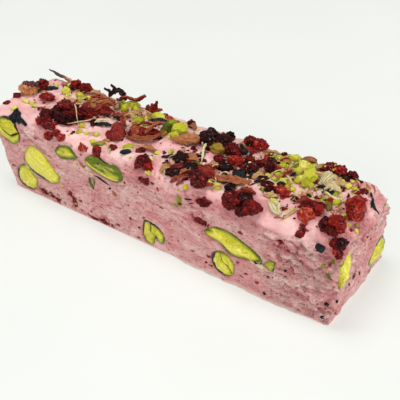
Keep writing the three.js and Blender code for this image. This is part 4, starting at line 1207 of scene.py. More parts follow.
def add_lump(heap, x, y, rise, size, seed, tone, **form):
    """Adds a wrinkled lump to the heap, its middle raised above the top skin at x, y."""
    points, faces, masks = lobe(size, seed, **form)
    heap.add(turned(points, 20) + [x, y, top_at(x, y)[2] + rise], faces, tone=tone, rib=masks["crease"])


# The large hibiscus flower: a knobbly black-red heart under a fan of crimson folds
heap = Heap()
heart = [
    (-36.6, -6.6, (8.4, 5.6, 4.6), 0.04),
    (-41, -4.4, (5.6, 5, 4.4), 0.1),
    (-34.6, -3.4, (5.2, 4.4, 4.2), 0.06),
    (-38.4, -2.2, (6, 4.6, 4.4), 0.16),
]
for k, (x, y, size, tone) in enumerate(heart):
    add_lump(heap, x, y, 0.32 * size[2], size, 31.1 + 2.3 * k, tone, beads=24, folds=(2.6, 1.1, 1.1),
             depth=0.7)
for k in range(30):
    share = scatter(k)
    angle = radians(112 + 92 * share)
    reach = 5 + 2 * sin(2.1 * k)
    start = np.array([-37 + 1.2 * cos(1.9 * k), -3.6 + sin(2.3 * k)])
    tip = start + reach * np.array([cos(angle), 0.75 * sin(angle)])
    bend = (start + tip) / 2 + 0.3 * np.array([sin(3 * k), cos(2 * k)])
    height = 3.4 + 0.7 * sin(1.7 * k)
    route = [(*start, height), (*bend, height + 0.2), (*tip, 0.9 + 0.5 * cos(k))]
    add_leaf(heap, route, 1.15 + 0.35 * cos(1.3 * k), 0.22 + 0.2 * sin(1.7 * k), ribs=2, thick=0.32,
             lean=34 * sin(1.1 * k), cup=0.4, ruffle=0.3, ragged=0.5, point=0.4, seed=3.3 * k, rows=30,
             across=9)
for k in range(12):
    start = np.array([-33.6 + 0.35 * k, -6.6 + 0.55 * k])
    route = [(*start, 2.6), (start[0] - 2, start[1] - 0.6 + 0.4 * sin(k), 3.6),
             (start[0] - 4.4 + cos(2 * k), start[1] - 0.9, 2.4)]
    add_leaf(heap, route, 1, 0.18 + 0.22 * scatter(k, 0.377), ribs=2, thick=0.3, lean=35 * cos(k), cup=0.4,
             ragged=0.45, seed=41.3 + 2.9 * k, rows=28, across=9)
heap.make("hibiscus_flower", petal_paint, "berry", ["hibiscus"])

# The fan of torn petal strips whose pale fibres run together at its right
heap = Heap()
hub = np.array([-26.6, 5.6])
for k in range(26):
    share = scatter(k)
    angle = radians(174 + 48 * share)
    reach = 11.4 - 3.6 * share + 1.4 * sin(2.7 * k)
    tip = hub + reach * toward(angle)
    bend = (hub + tip) / 2 + 0.5 * np.array([sin(k), cos(1.3 * k)])
    height = 1.2 + 2.3 * sin(pi * (0.15 + 0.7 * share)) + 0.5 * sin(1.9 * k)
    route = [(*hub, height), (*bend, height + 0.5), (*tip, 0.6 + 0.5 * cos(2 * k))]
    add_leaf(heap, route, 1.3 + 0.45 * sin(1.9 * k), 0.62 + 0.24 * sin(2.2 * k + 1), ribs=2, thick=0.32,
             lean=34 * sin(1.7 * k), cup=0.4, ruffle=0.4, ragged=0.5, point=0.45, seed=60.7 + 1.7 * k,
             rows=34, across=9)
for k in range(16):
    angle = radians(182 + 40 * scatter(k))
    reach = 6.5 + 4.5 * scatter(k, 0.377)
    start = hub + np.array([0.8 * sin(k), 0.8 * cos(1.7 * k)])
    tip = start + reach * toward(angle)
    bend = (start + tip) / 2 + 0.7 * np.array([sin(2 * k), cos(3 * k)])
    route = [(*start, 3), (*bend, 4 + 0.5 * sin(k)), (*tip, 1.6 + 0.7 * cos(k))]
    add_strand(heap, route, 0.16 + 0.05 * sin(k), 0.82 + 0.12 * cos(2 * k), seed=2.2 * k)
add_lump(heap, -31.8, 2.6, 1, (10.5, 5.6, 3.6), 71.3, 0.4, folds=(4, 0.9, 0.9), depth=0.6)
heap.make("petal_fan", petal_paint, "petal", ["petal_bundle"])

# An oval petal with veins along it, folded over itself
heap = Heap()
add_leaf(heap, [(-19, -1.4, 1.5), (-17.2, -4, 3), (-15.4, -7.2, 0.7)], 4.8, 0.46, ribs=8, cup=-1.5,
         thick=0.45, ruffle=0.5, ragged=0.2, point=0.5, seed=5.5, rows=60, across=31)
add_leaf(heap, [(-20.4, -3.4, 0.6), (-18.8, -5.6, 1.4), (-17, -7.6, 0.4)], 2.6, 0.4, ribs=4, cup=-0.5,
         thick=0.45, lean=-25, seed=9.5)
add_leaf(heap, [(-18, -0.4, 1), (-19.6, 1, 2.2), (-20.6, 2.2, 2.6)], 1.8, 0.48, ribs=3, thick=0.35,
         lean=30, seed=2.5)
heap.make("veined_petal", petal_paint, "berry", ["wrinkled_skin"])

# A rosehip opened out: a wet red middle between thin purplish folds, with a pale fibrous lip
heap = Heap()
middles = [
    (-9.8, -0.8, (5.6, 4.4, 3.6), 0.42),
    (-12.8, -2.4, (3, 3.6, 3), 0.2),
    (-7.2, 0.4, (4, 3.4, 3.2), 0.34),
]
for k, (x, y, size, tone) in enumerate(middles):
    add_lump(heap, x, y, 0.34 * size[2], size, 80.1 + 1.9 * k, tone, beads=22, folds=(1.4, 1.1, 1.1),
             depth=0.5)
add_leaf(heap, [(-13.4, 0.2, 2.6), (-12.2, -1.8, 3.8), (-10.9, -4.2, 1)], 2.8, 0.6, ribs=5, cup=-0.6,
         lean=20, thick=0.3, seed=11.5, rows=50, across=21)
add_leaf(heap, [(-8.6, -1.6, 2.4), (-6.6, 0.8, 3.8), (-5.3, 3.6, 4.1)], 3.2, 0.66, ribs=6, cup=0.8,
         lean=-28, thick=0.35, seed=13.5, rows=50, across=21)
add_leaf(heap, [(-14.2, -4.2, 0.7), (-10.2, -4, 1.2), (-6.2, -1.8, 1.2), (-4.6, 0.9, 1.6)], 1.4, 0.72,
         ribs=4, cup=0.5, lean=30, thick=0.4, seed=15.5, rows=70)
add_leaf(heap, [(-13.6, -1.2, 3), (-10.4, 0.8, 3.6), (-7.6, 2.4, 2.6)], 2, 0.36, ribs=4, lean=-20,
         thick=0.35, seed=17.5)
heap.make("rosehip_folds", petal_paint, "berry", ["rosehip"])

# Torn petals standing at the back edge, and a salmon one lying near the middle
heap = Heap()
add_leaf(heap, [(-31.4, 11.2, 28.4), (-27.6, 11.7, 30), (-23.6, 12, 30.4), (-19.8, 12.4, 32.2)], 2.5, 0.5,
         free=True, ribs=4, lean=-35, ragged=0.4, ruffle=0.35, thick=0.5, seed=21.5, rows=60)
add_leaf(heap, [(-25, 11.8, 29.8), (-22.6, 12, 31.2), (-20.8, 12.2, 32.6)], 1.2, 0.56, free=True, ribs=2,
         lean=-30, ragged=0.3, thick=0.35, seed=23.5)
heap.make("petal_standing", petal_paint, "petal", ["petal_back"])

heap = Heap()
crown = [(-14.1, 32.7, -15, 2.2), (-18.2, 30.4, -15.8, 1.7), (-12.4, 30.2, -15.2, 1.7),
         (-16.4, 31.4, -15.4, 1.5)]
for k, (tip_x, tip_z, base_x, width) in enumerate(crown):
    route = [(base_x, 10.2, 28), ((base_x + tip_x) / 2, 10.7, (28.6 + tip_z) / 2), (tip_x, 11.2, tip_z)]
    add_leaf(heap, route, width, 0.36 + 0.05 * k, free=True, ribs=3, lean=-60 + 20 * k, ragged=0.4, cup=0.4,
             thick=0.5, seed=25.5 + 2 * k)
heap.make("petal_crown", petal_paint, "petal", ["petal_spiky"])

heap = Heap()
add_leaf(heap, [(20.2, -7, 0.4), (24.8, -6, 1.2), (29.8, -4.8, 0.7)], 2.7, 0.7, ribs=7, cup=0.3, lean=10,
         ragged=0.3, thick=0.6, seed=33.5, rows=60)
heap.make("petal_salmon_strip", petal_paint, "petal", ["petal_salmon"])

# The black leaves: one curled up at the back edge, one stuck on the front shoulder
leaf_paint, shade, shader = finish("black_leaf", roughness=0.45, shine=0.15, coat=0.08)
colour = shade.cloud(0.9, detail=3).between(0.4, 0.7).blend(paint(10, 13, 16), paint(34, 42, 46))
brown = shade.mask("tone").between(0.3, 0.7).blend(colour, paint(66, 36, 34))
wire(shade, shader, Base_Color=brown, Normal=shade.bump(shade.cloud(0.4, detail=4, rough=0.65), 0.25))

heap = Heap()
standing = [
    ([(-35.4, 11.7, 28.2), (-33.6, 12, 30.2), (-31.2, 12.1, 31.6), (-27.8, 12, 31.2)], 2.2, 60, 0.55),
    ([(-31.4, 12, 31.4), (-32.6, 12.1, 32.2), (-34, 12.1, 32.7)], 1.6, 30, 0.5),
    ([(-33.8, 12, 30), (-35.6, 12, 30.6), (-37.2, 12, 30.8)], 0.9, 20, 0.6),
    ([(-30.6, 12, 31.6), (-29, 12.1, 29.8), (-28.2, 12.1, 28.6)], 1.9, 50, 0.6),
]
for k, (route, width, lean, tone) in enumerate(standing):
    add_leaf(heap, route, width, tone, free=True, lean=lean, ragged=0.45, ruffle=0.3, cup=0.3, thick=0.5,
             ribs=2, seed=43.5 + 2 * k)
heap.make("black_leaf_curled", leaf_paint, "dark_leaf", ["leaf_standing"])

heap = Heap()
lying = [
    ([(-55.4, -9.8, 28.9), (-54.2, -12, 28.3), (-53, -13.8, 26.6)], 3.3),
    ([(-54.6, -12.4, 28.2), (-51.2, -12.8, 28.1), (-47.6, -13.6, 27.1)], 2),
    ([(-54.8, -11, 28.7), (-52.8, -12.2, 28.8), (-50.8, -13.8, 27)], 2.4),
]
for k, (route, width) in enumerate(lying):
    add_leaf(heap, route, width, 0, free=True, lean=-20 * k, ragged=0.4, ruffle=0.35, thick=0.6, ribs=3,
             seed=53.5 + 2 * k)
heap.make("black_leaf_flat", leaf_paint, "dark_leaf", ["leaf_black"])

twig_paint, shade, shader = finish("twig_bark", roughness=0.6)
bark = shade.mask("tone").tints(paint(74, 44, 38), (0.1, 0.5, (150, 92, 58)), (0.5, 0.9, (214, 158, 140)))
grooves = shade.cloud(0.5, (3, 1, 1), detail=4)
bark = (grooves.between(0.55, 0.75) * 0.4).blend(bark, paint(52, 28, 26))
wire(shade, shader, Base_Color=bark, Normal=shade.bump(grooves, 0.15))
heap = Heap()
trunk = [(-51.6, 12.2, 28.3), (-54.4, 12.6, 28.9), (-58.6, 12.9, 29.6), (-61.4, 12.9, 30.1),
         (-63.7, 13, 30.5)]
points, faces = strand(trunk, 0.55, tips=(1, 0.4), seed=4, sides=12)
heap.add(points, faces, tone=ramp(-60, -51, points[:, 0]))
points, faces = strand([(-56.6, 12.8, 29.2), (-53.6, 12.2, 29.8), (-51.4, 11.8, 29)], 0.4, seed=6, sides=9)
heap.add(points, faces, tone=0.95)
heap.make("twig_thin", twig_paint, "twig", ["twig_far"])


# ---------------------------------------------------------------- chopped nuts, walnut and husks
# Broken pistachio on the top: angular yellow to lime bits with a green skin left on some faces, the
# largest one a split half kernel; a wedge of walnut and a ribbed tan husk lie among them.

nut_paint, shade, shader = finish("chopped_pistachio", roughness=0.5, shine=0.3, glow_through=0.15)
crumbly = shade.cloud(0.5, detail=5, rough=0.7)
tone = shade.mask("tone") + (shade.cloud(1, detail=4, rough=0.65) - 0.5) * 0.5
colour = tone.tints(paint(242, 230, 118), (0, 0.4, (208, 204, 44)), (0.35, 0.75, (156, 164, 24)),
                    (0.7, 1, (82, 100, 16)))
# The low parts of the crumbly bump are painted darker, as painted shade in its hollows
colour = (crumbly.between(0.52, 0.4) * 0.35).blend(colour, paint(132, 124, 22))
colour = shade.mask("brown").blend(colour, paint(168, 106, 50))
wire(shade, shader, Base_Color=colour, Normal=shade.bump(crumbly, 0.4))


SOFT_EDGE = 0.06


def chip(size, seed, level=3, cuts=9):
    """A broken bit of nut about the origin: a lump cut by flat faces. Gives points, faces and how
    green each face is against its neighbours."""
    directions, faces = BALLS[level]
    draw = np.random.default_rng(int(seed * 10))
    planes = even_spots(cuts, seed)
    reach = draw.uniform(0.6, 0.95, cuts)
    radii = reach / np.maximum(directions @ planes.T, 0.1)
    blunt = -SOFT_EDGE * np.log(np.exp(-radii / SOFT_EDGE).sum(axis=1))
    rough = 0.07 * grain(directions, 0.35, seed, 2)
    if level > 3:
        rough = rough + 0.035 * grain(directions, 0.14, seed + 1, 2)
    radius = np.clip(blunt, 0.35, 1.1) * (1 + rough)
    shades = draw.normal(0, 0.16, cuts)[radii.argmin(axis=1)]
    return directions * radius[:, None] * np.array(size) / 2, faces, shades


def add_chip(heap, place, size, turn, tone, seed, level, brown=0, cuts=9):
    points, faces, shades = chip(size, seed, level, cuts)
    heap.add(turned(points, turn) + place, faces, tone=np.clip(tone + shades, 0, 1), brown=brown)


# Each nut bit: its chips as offset, size, turn, tone from yellow to dark green
NUTS = {
    "nut_far": [((0, 0, 0), (3.4, 3.4, 3.8), 70, 0.3), ((1.2, -1, -0.9), (2, 1.6, 1.8), 0, 0.2)],
    "nut_slice": [((-1, 0.3, 0), (3, 4.2, 3.4), 30, 0.85), ((1, -0.4, -0.1), (2.6, 3.6, 3), 10, 0.45),
        ((2, 1, -0.4), (1.8, 2.2, 2.2), 0, 0.3)],
    "nut_lime": [((0, 0, 0), (5, 3, 2.8), 5, 0.3), ((-1.4, -0.4, -0.2), (2.4, 2, 2.2), 0, 0.45)],
    "nut_large": [((-2, 0.2, 0.1), (3.2, 6.2, 4.2), -15, 0.85), ((1.4, 0.4, 0), (4.8, 6.4, 4.2), -20, 0.45),
        ((1.6, -2.2, -0.4), (3, 3.4, 3), 0, 0.34), ((0.6, -3.4, -1), (1.6, 2, 1.6), 0, 0)],
    "nut_near": [((-0.2, 0.8, 0), (4.6, 4.4, 4.2), 0, 0.3), ((0.6, -1.6, -0.4), (4.2, 3.4, 3.2), 20, 0.5),
        ((-1.6, -0.8, -0.6), (2.2, 2.6, 2.4), 0, 0.2)],
    "nut_back": [((-0.6, 0, 0), (3.6, 3.8, 3.2), -15, 0.12), ((1.6, 0.2, -0.3), (2.6, 2.8, 2.4), 0, 0.3)],
}
for index, (name, chips) in enumerate(NUTS.items()):
    heap = Heap()
    place = seat(name, chips[0][1][2])
    for k, (offset, size, turn, tone) in enumerate(chips):
        add_chip(heap, place + offset, size, turn, tone, 3.1 * index + 1.7 * k, level=5, cuts=13)
    if name == "nut_large":
        add_chip(heap, place + (-2.6, -2.4, -1.1), (3.2, 2.8, 2.2), 20, 0.3, 77, level=4, brown=0.85)
    heap.make(name.replace("nut_", "pistachio_bit_"), nut_paint, "pistachio", [name])

tan_paint, shade, shader = finish("tan_husk", roughness=0.55, glow_through=0.12)
tone = shade.mask("tone") + (shade.cloud(0.8, (2, 1, 1), detail=4, rough=0.7) - 0.5) * 0.6
colour = tone.tints(paint(96, 50, 34), (0, 0.35, (186, 112, 66)), (0.3, 0.65, (206, 162, 104)),
                    (0.65, 1, (234, 220, 168)))
# Painted shade in the grooves: between the ribs and in the lumps' creases
colour = (shade.mask("rib") * 0.55).blend(colour, paint(112, 76, 46))
cracks = shade.cloud(0.5, (2, 1, 1), detail=5, rough=0.7)
wire(shade, shader, Base_Color=colour, Normal=shade.bump(cracks, 0.4))

heap = Heap()
place = seat("walnut", 4)
points, faces, masks = lobe((9.4, 4.4, 3.6), 5.1, folds=(7, 0.9, 0.9), depth=0.4, level=6)
points[:, 2] *= 0.5 + 0.5 * ramp(-4, 4, points[:, 0])
points[:, 1] *= 0.45 + 0.55 * ramp(-4.5, 1, points[:, 0])
dark_edge = ramp(-0.4, -1.4, points[:, 2] + 0.3 * points[:, 1])
heap.add(turned(points, 30) + place, faces, tone=0.34 - 0.34 * dark_edge, rib=0.5 * masks["crease"])
heap.make("walnut_wedge", tan_paint, "walnut", ["walnut"])

heap = Heap()
x, y = sum(box_of("husk_tan"))[:2] / 2
blades = [(-1.9, 1.6, 72, 3.6, 0.94), (0.6, -0.8, 0, 3.7, 0.9), (1, 1.4, 40, 2.2, 0.74)]
for k, (dx, dy, turn, width, tone) in enumerate(blades):
    add_leaf(heap, arch(x + dx, y + dy, 5.2, turn, (0.4, 2.6 - 0.5 * k, 0.8)), width, tone, ribs=6, cup=-0.9,
             thick=0.6, ruffle=0.45, ragged=0.4, point=0.45, seed=4.5 + 3 * k, rows=50, across=23)
add_lump(heap, x, y, 0.7, (4.8, 4.2, 2.6), 91.3, 0.66, folds=(3, 0.8, 0.8), depth=0.3)
heap.make("husk_ribbed", tan_paint, "husk", ["husk_tan"])

# The amber fruit at the far end: clear and honey-coloured in front, dark and shrivelled on its crown
amber_paint, shade, shader = finish("amber_fruit", roughness=0.35, coat=0.15, coat_roughness=0.15,
                                    glow_through=0.4, depth=(1, 0.5, 0.2))
honey = shade.cloud(2.2, detail=3).between(0.35, 0.7).blend(paint(214, 152, 90), paint(180, 104, 56))
dark = shade.mask("crown") + (shade.cloud(0.8, detail=3) - 0.5) * 0.8
colour = dark.between(0.35, 0.75).blend(honey, paint(84, 16, 24))
wire(shade, shader, Base_Color=colour, Normal=shade.bump(shade.cloud(0.5, detail=4, rough=0.6), 0.25))
heap = Heap()
halves = [((0, 0, 0), (5.8, 4.6, 5), 20), ((1.3, 1, 0.2), (4.2, 3.6, 4.2), 0)]
for k, (offset, size, turn) in enumerate(halves):
    points, faces, masks = lobe(size, 97.3 + 2 * k, folds=(2, 1.4, 1.4), depth=0.5)
    # The creases add painted shade to the dark crown
    crown = ramp(-0.4, 2.2, points[:, 2] + 0.8 * points[:, 1] + 0.3 * points[:, 0]) + 0.3 * masks["crease"]
    heap.add(turned(points, turn) + seat("fruit_amber", 5.6) + offset, faces, crown=crown)
heap.make("amber_fruit_dried", amber_paint, "candied_fruit", ["fruit_amber"])


# ---------------------------------------------------------------- loose bits strewn over the top
# What broke off the larger pieces and was strewn with them: nut crumbs, berry and petal crumbs,
# black flakes and seeds, bits of husk and pale fibres, pressed lightly into the skin or, stirred
# into the nougat, laid bare by the knife.


def laid(points, x, y, turn=0, lift=0):
    """Points turned, tipped to lie on the top skin at x, y and raised by lift."""
    place = top_at(x, y)
    normal = np.array(plain_skin.ray_cast(Vector((x, y, ABOVE)), DOWN)[1])
    across = np.cross([0, 1, 0], normal)
    across /= np.linalg.norm(across)
    axes = np.stack([across, np.cross(normal, across), normal])
    return turned(points, turn) @ axes + place + normal * lift


def pressed(points, face, u, v, turn=0, lift=0):
    """Points turned in the plane of a cut face and set into it at u, v."""
    along, out = FACES[face]
    return turned(points, turn) @ np.stack([along, [0, 0, 1], out]) + side_at(face, u, v) + lift * out


def along_face(face, spots, lift):
    """A route over a cut face, raised by lift, as places in space."""
    return [side_at(face, u, v) + lift * FACES[face][1] for u, v in spots]


def clear_spot(face, u, v):
    """Whether u, v on a cut face is clear of the kernels."""
    rims = [outline for kernel_face, outline in outlines.values() if kernel_face == face]
    return all(signed_distance(np.array([[u, v]]), rim)[0] > 0.6 for rim in rims)


def strewn(patches, seed):
    """Random places in patches of the top, each x0, x1, y0, y1, how many, smallest and largest size."""
    draw = np.random.default_rng(seed)
    for x0, x1, y0, y1, count, small, large in patches:
        for _ in range(count):
            x, y = draw.uniform(x0, x1), draw.uniform(y0, y1)
            yield x, y, small + (large - small) * draw.random() ** 2, draw


def add_crumb(heap, x, y, size, seed, tone, form, level, flat=0.36, brown=0):
    """Adds a crumb of one of the kinds chip and lobe, sunk a little into the skin."""
    full = (1.1 * size, 0.8 * size, 2 * flat * size)
    if form == "chip":
        points, faces, shades = chip(full, seed, level, cuts=8)
        masks = {"tone": np.clip(tone + shades, 0, 1), "brown": brown}
    else:
        points, faces, masks = lobe(full, seed, folds=(0.9, 0.7, 0.7), depth=0.16 * size, level=level)
        masks = {**masks, "tone": tone, "rib": masks["crease"]}
    heap.add(laid(points, x, y, 57 * seed, 0.1 * size), faces, **masks)


def solid_crumbs():
    """The crumbs that stand on the solid nougat's top: x, y and size of each."""
    solid = points_of(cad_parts["nougat"].data)
    skin = [plain_skin.ray_cast(Vector((x, y, ABOVE)), DOWN)[0] for x, y, _ in solid]
    over = np.array([z - place.z if place else 0 for z, place in zip(solid[:, 2], skin)])
    stands = (over > 0.3) & (solid[:, 2] > HEIGHT - 4)
    high, over = solid[stands], over[stands]
    spots = []
    while len(high):
        mine = np.linalg.norm(high[:, :2] - high[over.argmax(), :2], axis=1) < 1.5
        x, y = high[mine, :2].mean(axis=0)
        spots.append((x, y, float(np.clip(over[mine].max() / 0.42, 1.5, 3))))
        high, over = high[~mine], over[~mine]
    return spots


nut_crumbs, berry_crumbs = Heap(), Heap()
for k, (x, y, size) in enumerate(solid_crumbs()):
    red = sin(12.9 * x + 7.7 * y) > 0.35 and x < 56 or hypot(x - 40.4, y + 5) < 1.6
    size *= 0.5 if x > 56 or (x > 48 and y < -10) else 1
    if red:
        add_crumb(berry_crumbs, x, y, 1.05 * size, 110.3 + 1.3 * k, 0.35 + 0.25 * sin(k), "lobe", 4)
    else:
        add_crumb(nut_crumbs, x, y, 1.05 * size, 110.3 + 1.3 * k, 0.3 + 0.25 * sin(2.3 * k), "chip", 4)

# Nut crumbs: x, y, length, width, height, turn, tone from yellow to dark green
NUT_BITS = [
    (-44.2, 7.2, 3.2, 2.4, 1.8, 20, 0.4), (-40.5, 7.7, 3, 2, 1.6, 10, 0.3),
    (-41, 4.6, 2.6, 1.6, 1.2, 60, 0.5), (-24.7, 11.7, 6, 2.3, 2.2, 20, 0.2), (-22, 9.6, 3, 2, 2, 0, 0.4),
    (-17, 4.9, 3.8, 3.2, 2, 30, 0.7), (-16.2, 7.6, 2.6, 2, 1.6, 70, 0.3),
    (-19.4, -9.9, 5.6, 2.3, 1, 25, 0.8), (-9.4, -8.6, 3.8, 3.4, 1.6, 60, 0.45),
    (-0.9, -11.5, 2.2, 1.5, 1.4, -50, 0.12), (1.8, -13.2, 2.4, 1.6, 1.3, -40, 0.2),
    (-12.4, 1, 2.4, 1.4, 1, 20, 0.2), (13, -5, 4.2, 2, 1.4, 160, 0.75), (23, -9.9, 3, 2.2, 2, 0, 0.2),
    (20.6, -10, 2.4, 1.8, 1.6, 60, 0.3), (29, 8.3, 3.4, 2.6, 1.2, 20, 0.75), (32.6, 9, 3, 2.4, 1.6, 0, 0.5),
    (35.7, 7.5, 3.4, 2, 1.8, 30, 0.85), (39.2, -1.4, 3.2, 1.5, 1.2, 128, 0.65),
    (40.5, 2.5, 3, 2.6, 2.2, 20, 0.25), (38.4, 5.8, 3.2, 2.6, 2.4, 0, 0.15),
    (47.5, 9, 2.6, 1.8, 1.8, 0, 0.2), (52.5, 6.5, 2.2, 1.8, 1.6, 0, 0.1),
    (54.5, 6.3, 1.8, 1.6, 1.4, 0, 0.3), (52.2, 0.2, 2.8, 2, 1.6, 20, 0.35),
    (-54.7, -4, 2.6, 1.8, 1, 20, 0.3), (-57.5, -9.3, 2.6, 2.2, 1.4, 30, 0.15),
    (-59, 6, 3, 1.8, 1.4, 30, 0.3), (-31, -5.5, 2.4, 2, 1.6, 60, 0.3), (-15, 3, 2.6, 2, 1.8, 0, 0.3),
    (0, -12.5, 1.8, 1.4, 1.2, 0, 0.3), (15, -13, 2, 1.6, 1.4, 0, 0.3), (56.6, -3.6, 1.6, 1.4, 1.2, 0, 0.2),
    (31.6, 10.4, 2.8, 2, 1.6, 20, 0.3), (34.2, 11.4, 3.8, 2.2, 1.9, 20, 0.3),
    (30, 11.2, 2.4, 1.6, 1.2, 20, 0.55), (-52, 10.6, 2, 1.8, 1.6, 0, 0.1),
    (52.6, -0.5, 3.8, 2.2, 1.5, 23, 0.35), (45.2, -9.3, 1.5, 1.2, 0.5, 0, 0),
    (52.2, 6.5, 2, 1.3, 1.2, 20, 0.3), (52.3, 9.6, 2, 1.2, 1.2, 0, 0.05),
    (50.2, 7.8, 2.2, 1.5, 1.5, 60, 0.2), (34.4, 2.2, 2.4, 1.6, 1.4, 10, 0.3),
    (32, 0.8, 2, 1.4, 1.2, 50, 0.15), (36.6, -1.4, 1.8, 1.2, 1.1, 30, 0.1),
    (38.6, 0.8, 2.6, 1.5, 1.2, 100, 0.6), (58.7, -5.2, 1.2, 0.9, 0.7, 0, 0.5),
    (59.6, -3, 1.1, 0.8, 0.7, 30, 0.7), (47.4, 8.2, 2.4, 2, 1.6, 0, 0.1), (34, -5, 2, 1.3, 1, -30, 0.85),
    (35.2, 5.6, 3, 2, 1.4, 70, 0.6), (33, 6.8, 2.4, 1.6, 1.2, 20, 0.4),
]
for k, (x, y, length, width, height, turn, tone) in enumerate(NUT_BITS):
    points, faces, shades = chip((length, width, height), 140.7 + 1.9 * k, 4, cuts=10)
    masks = {"tone": np.clip(tone + 0.6 * shades, 0, 1), "brown": 0.7 if k % 17 == 16 else 0}
    nut_crumbs.add(laid(points, x, y, turn, 0.22 * height), faces, **masks)

# Bits of nut in the cut faces: face, u, v, length, height, turn, tone
NUT_FLECKS = [
    ("front", -27, 20.5, 1.6, 1.1, 20, 0.1), ("front", -35, 9.5, 1.3, 1, 0, 0.1),
    ("front", 38.4, 12.6, 1.6, 0.8, 20, 0), ("front", 58.6, 17.2, 3, 1.5, -60, 0.95),
    ("front", 57, 20.2, 2, 1.1, 40, 0.9), ("front", 11.4, 20.6, 2.2, 1.3, 60, 0.8),
    ("near", 3.4, 12.2, 1, 0.7, 0, 0.2), ("front", -18, 23.9, 1.2, 0.9, 0, 1),
    ("back", -20, 8, 1.8, 1.2, 30, 0.4), ("back", 20, 6, 1.4, 1, 0, 0.1), ("back", 47, 20, 2, 1.2, 70, 0.6),
    ("far", 5, 5, 1.4, 1, 0, 0.2),
]
for k, (face, u, v, length, height, turn, tone) in enumerate(NUT_FLECKS):
    points, faces, shades = chip((length, height, 0.8), 180.7 + 1.9 * k, 3, cuts=9)
    shades = np.clip(tone + 0.5 * shades, 0, 1)
    nut_crumbs.add(pressed(points, face, u, v, turn), faces, tone=shades, brown=0)
NUT_DUST = [
    (-50, -38, 4, 12, 40, 0.4, 1.4), (-27, -12, 1, 11, 80, 0.4, 1.4), (-5, 4, 3, 11, 12, 0.4, 1.4),
    (14, 32, -10, 10, 60, 0.35, 1.2), (25, 41, -4, 12, 130, 0.4, 1.4), (25, 36, 9, 12.4, 26, 0.4, 1.4),
    (31, 46, -4, 13, 130, 0.4, 1.6), (44, 57, -3, 11, 60, 0.4, 1.5), (-58, -20, -12, 0, 14, 0.4, 1),
    (-10, 14, -14, -4, 20, 0.4, 1.2), (36, 58, -13, -3, 12, 0.4, 0.9),
]
for k, (x, y, size, draw) in enumerate(strewn(NUT_DUST, 5)):
    add_crumb(nut_crumbs, x, y, size, 200.3 + 0.7 * k, draw.uniform(0, 0.85), "chip", 2,
              draw.uniform(0.25, 0.45))

# A dark green sprig and a curled olive husk caught in the front face
for k, (u, v) in enumerate([(-21.6, 17.6), (-19.2, 17.8), (-20, 18.4), (-22, 15.8)]):
    middle = (0.5 * (u - 20.4) + 0.2 * k, 0.5 * (v + 13.6))
    route = along_face("front", [(-20.4, 13.6), middle, (u, v)], 0.12)
    add_strand(nut_crumbs, route, 0.42 if k == 0 else 0.14, 0.95, free=True, seed=81.3 + k)
husk_route = along_face("front", [(12.6, 24), (13.5, 22.2), (12.2, 20.2)], 0)
add_strand(nut_crumbs, husk_route, 0.75, 0.8, free=True, seed=86.1)

# The olive seed that shows in the middle of the black berry
points, faces, masks = lobe((5, 3, 3), 87.2, folds=(2, 1, 1), depth=0.3)
nut_crumbs.add(points + seat("berry_black", 5) + (2.2, -2.6, -0.2), faces, tone=0.75, brown=0.6)

# A green seed by the long berry
points, faces, masks = lobe((3, 1.9, 1.6), 88.2, folds=(2, 0.6, 0.6), depth=0.15, level=4)
nut_crumbs.add(laid(points, 51.9, -2.8, 115, 0.5), faces, tone=1, brown=0.3)
nut_crumbs.make("pistachio_crumbs", nut_paint, "pistachio")

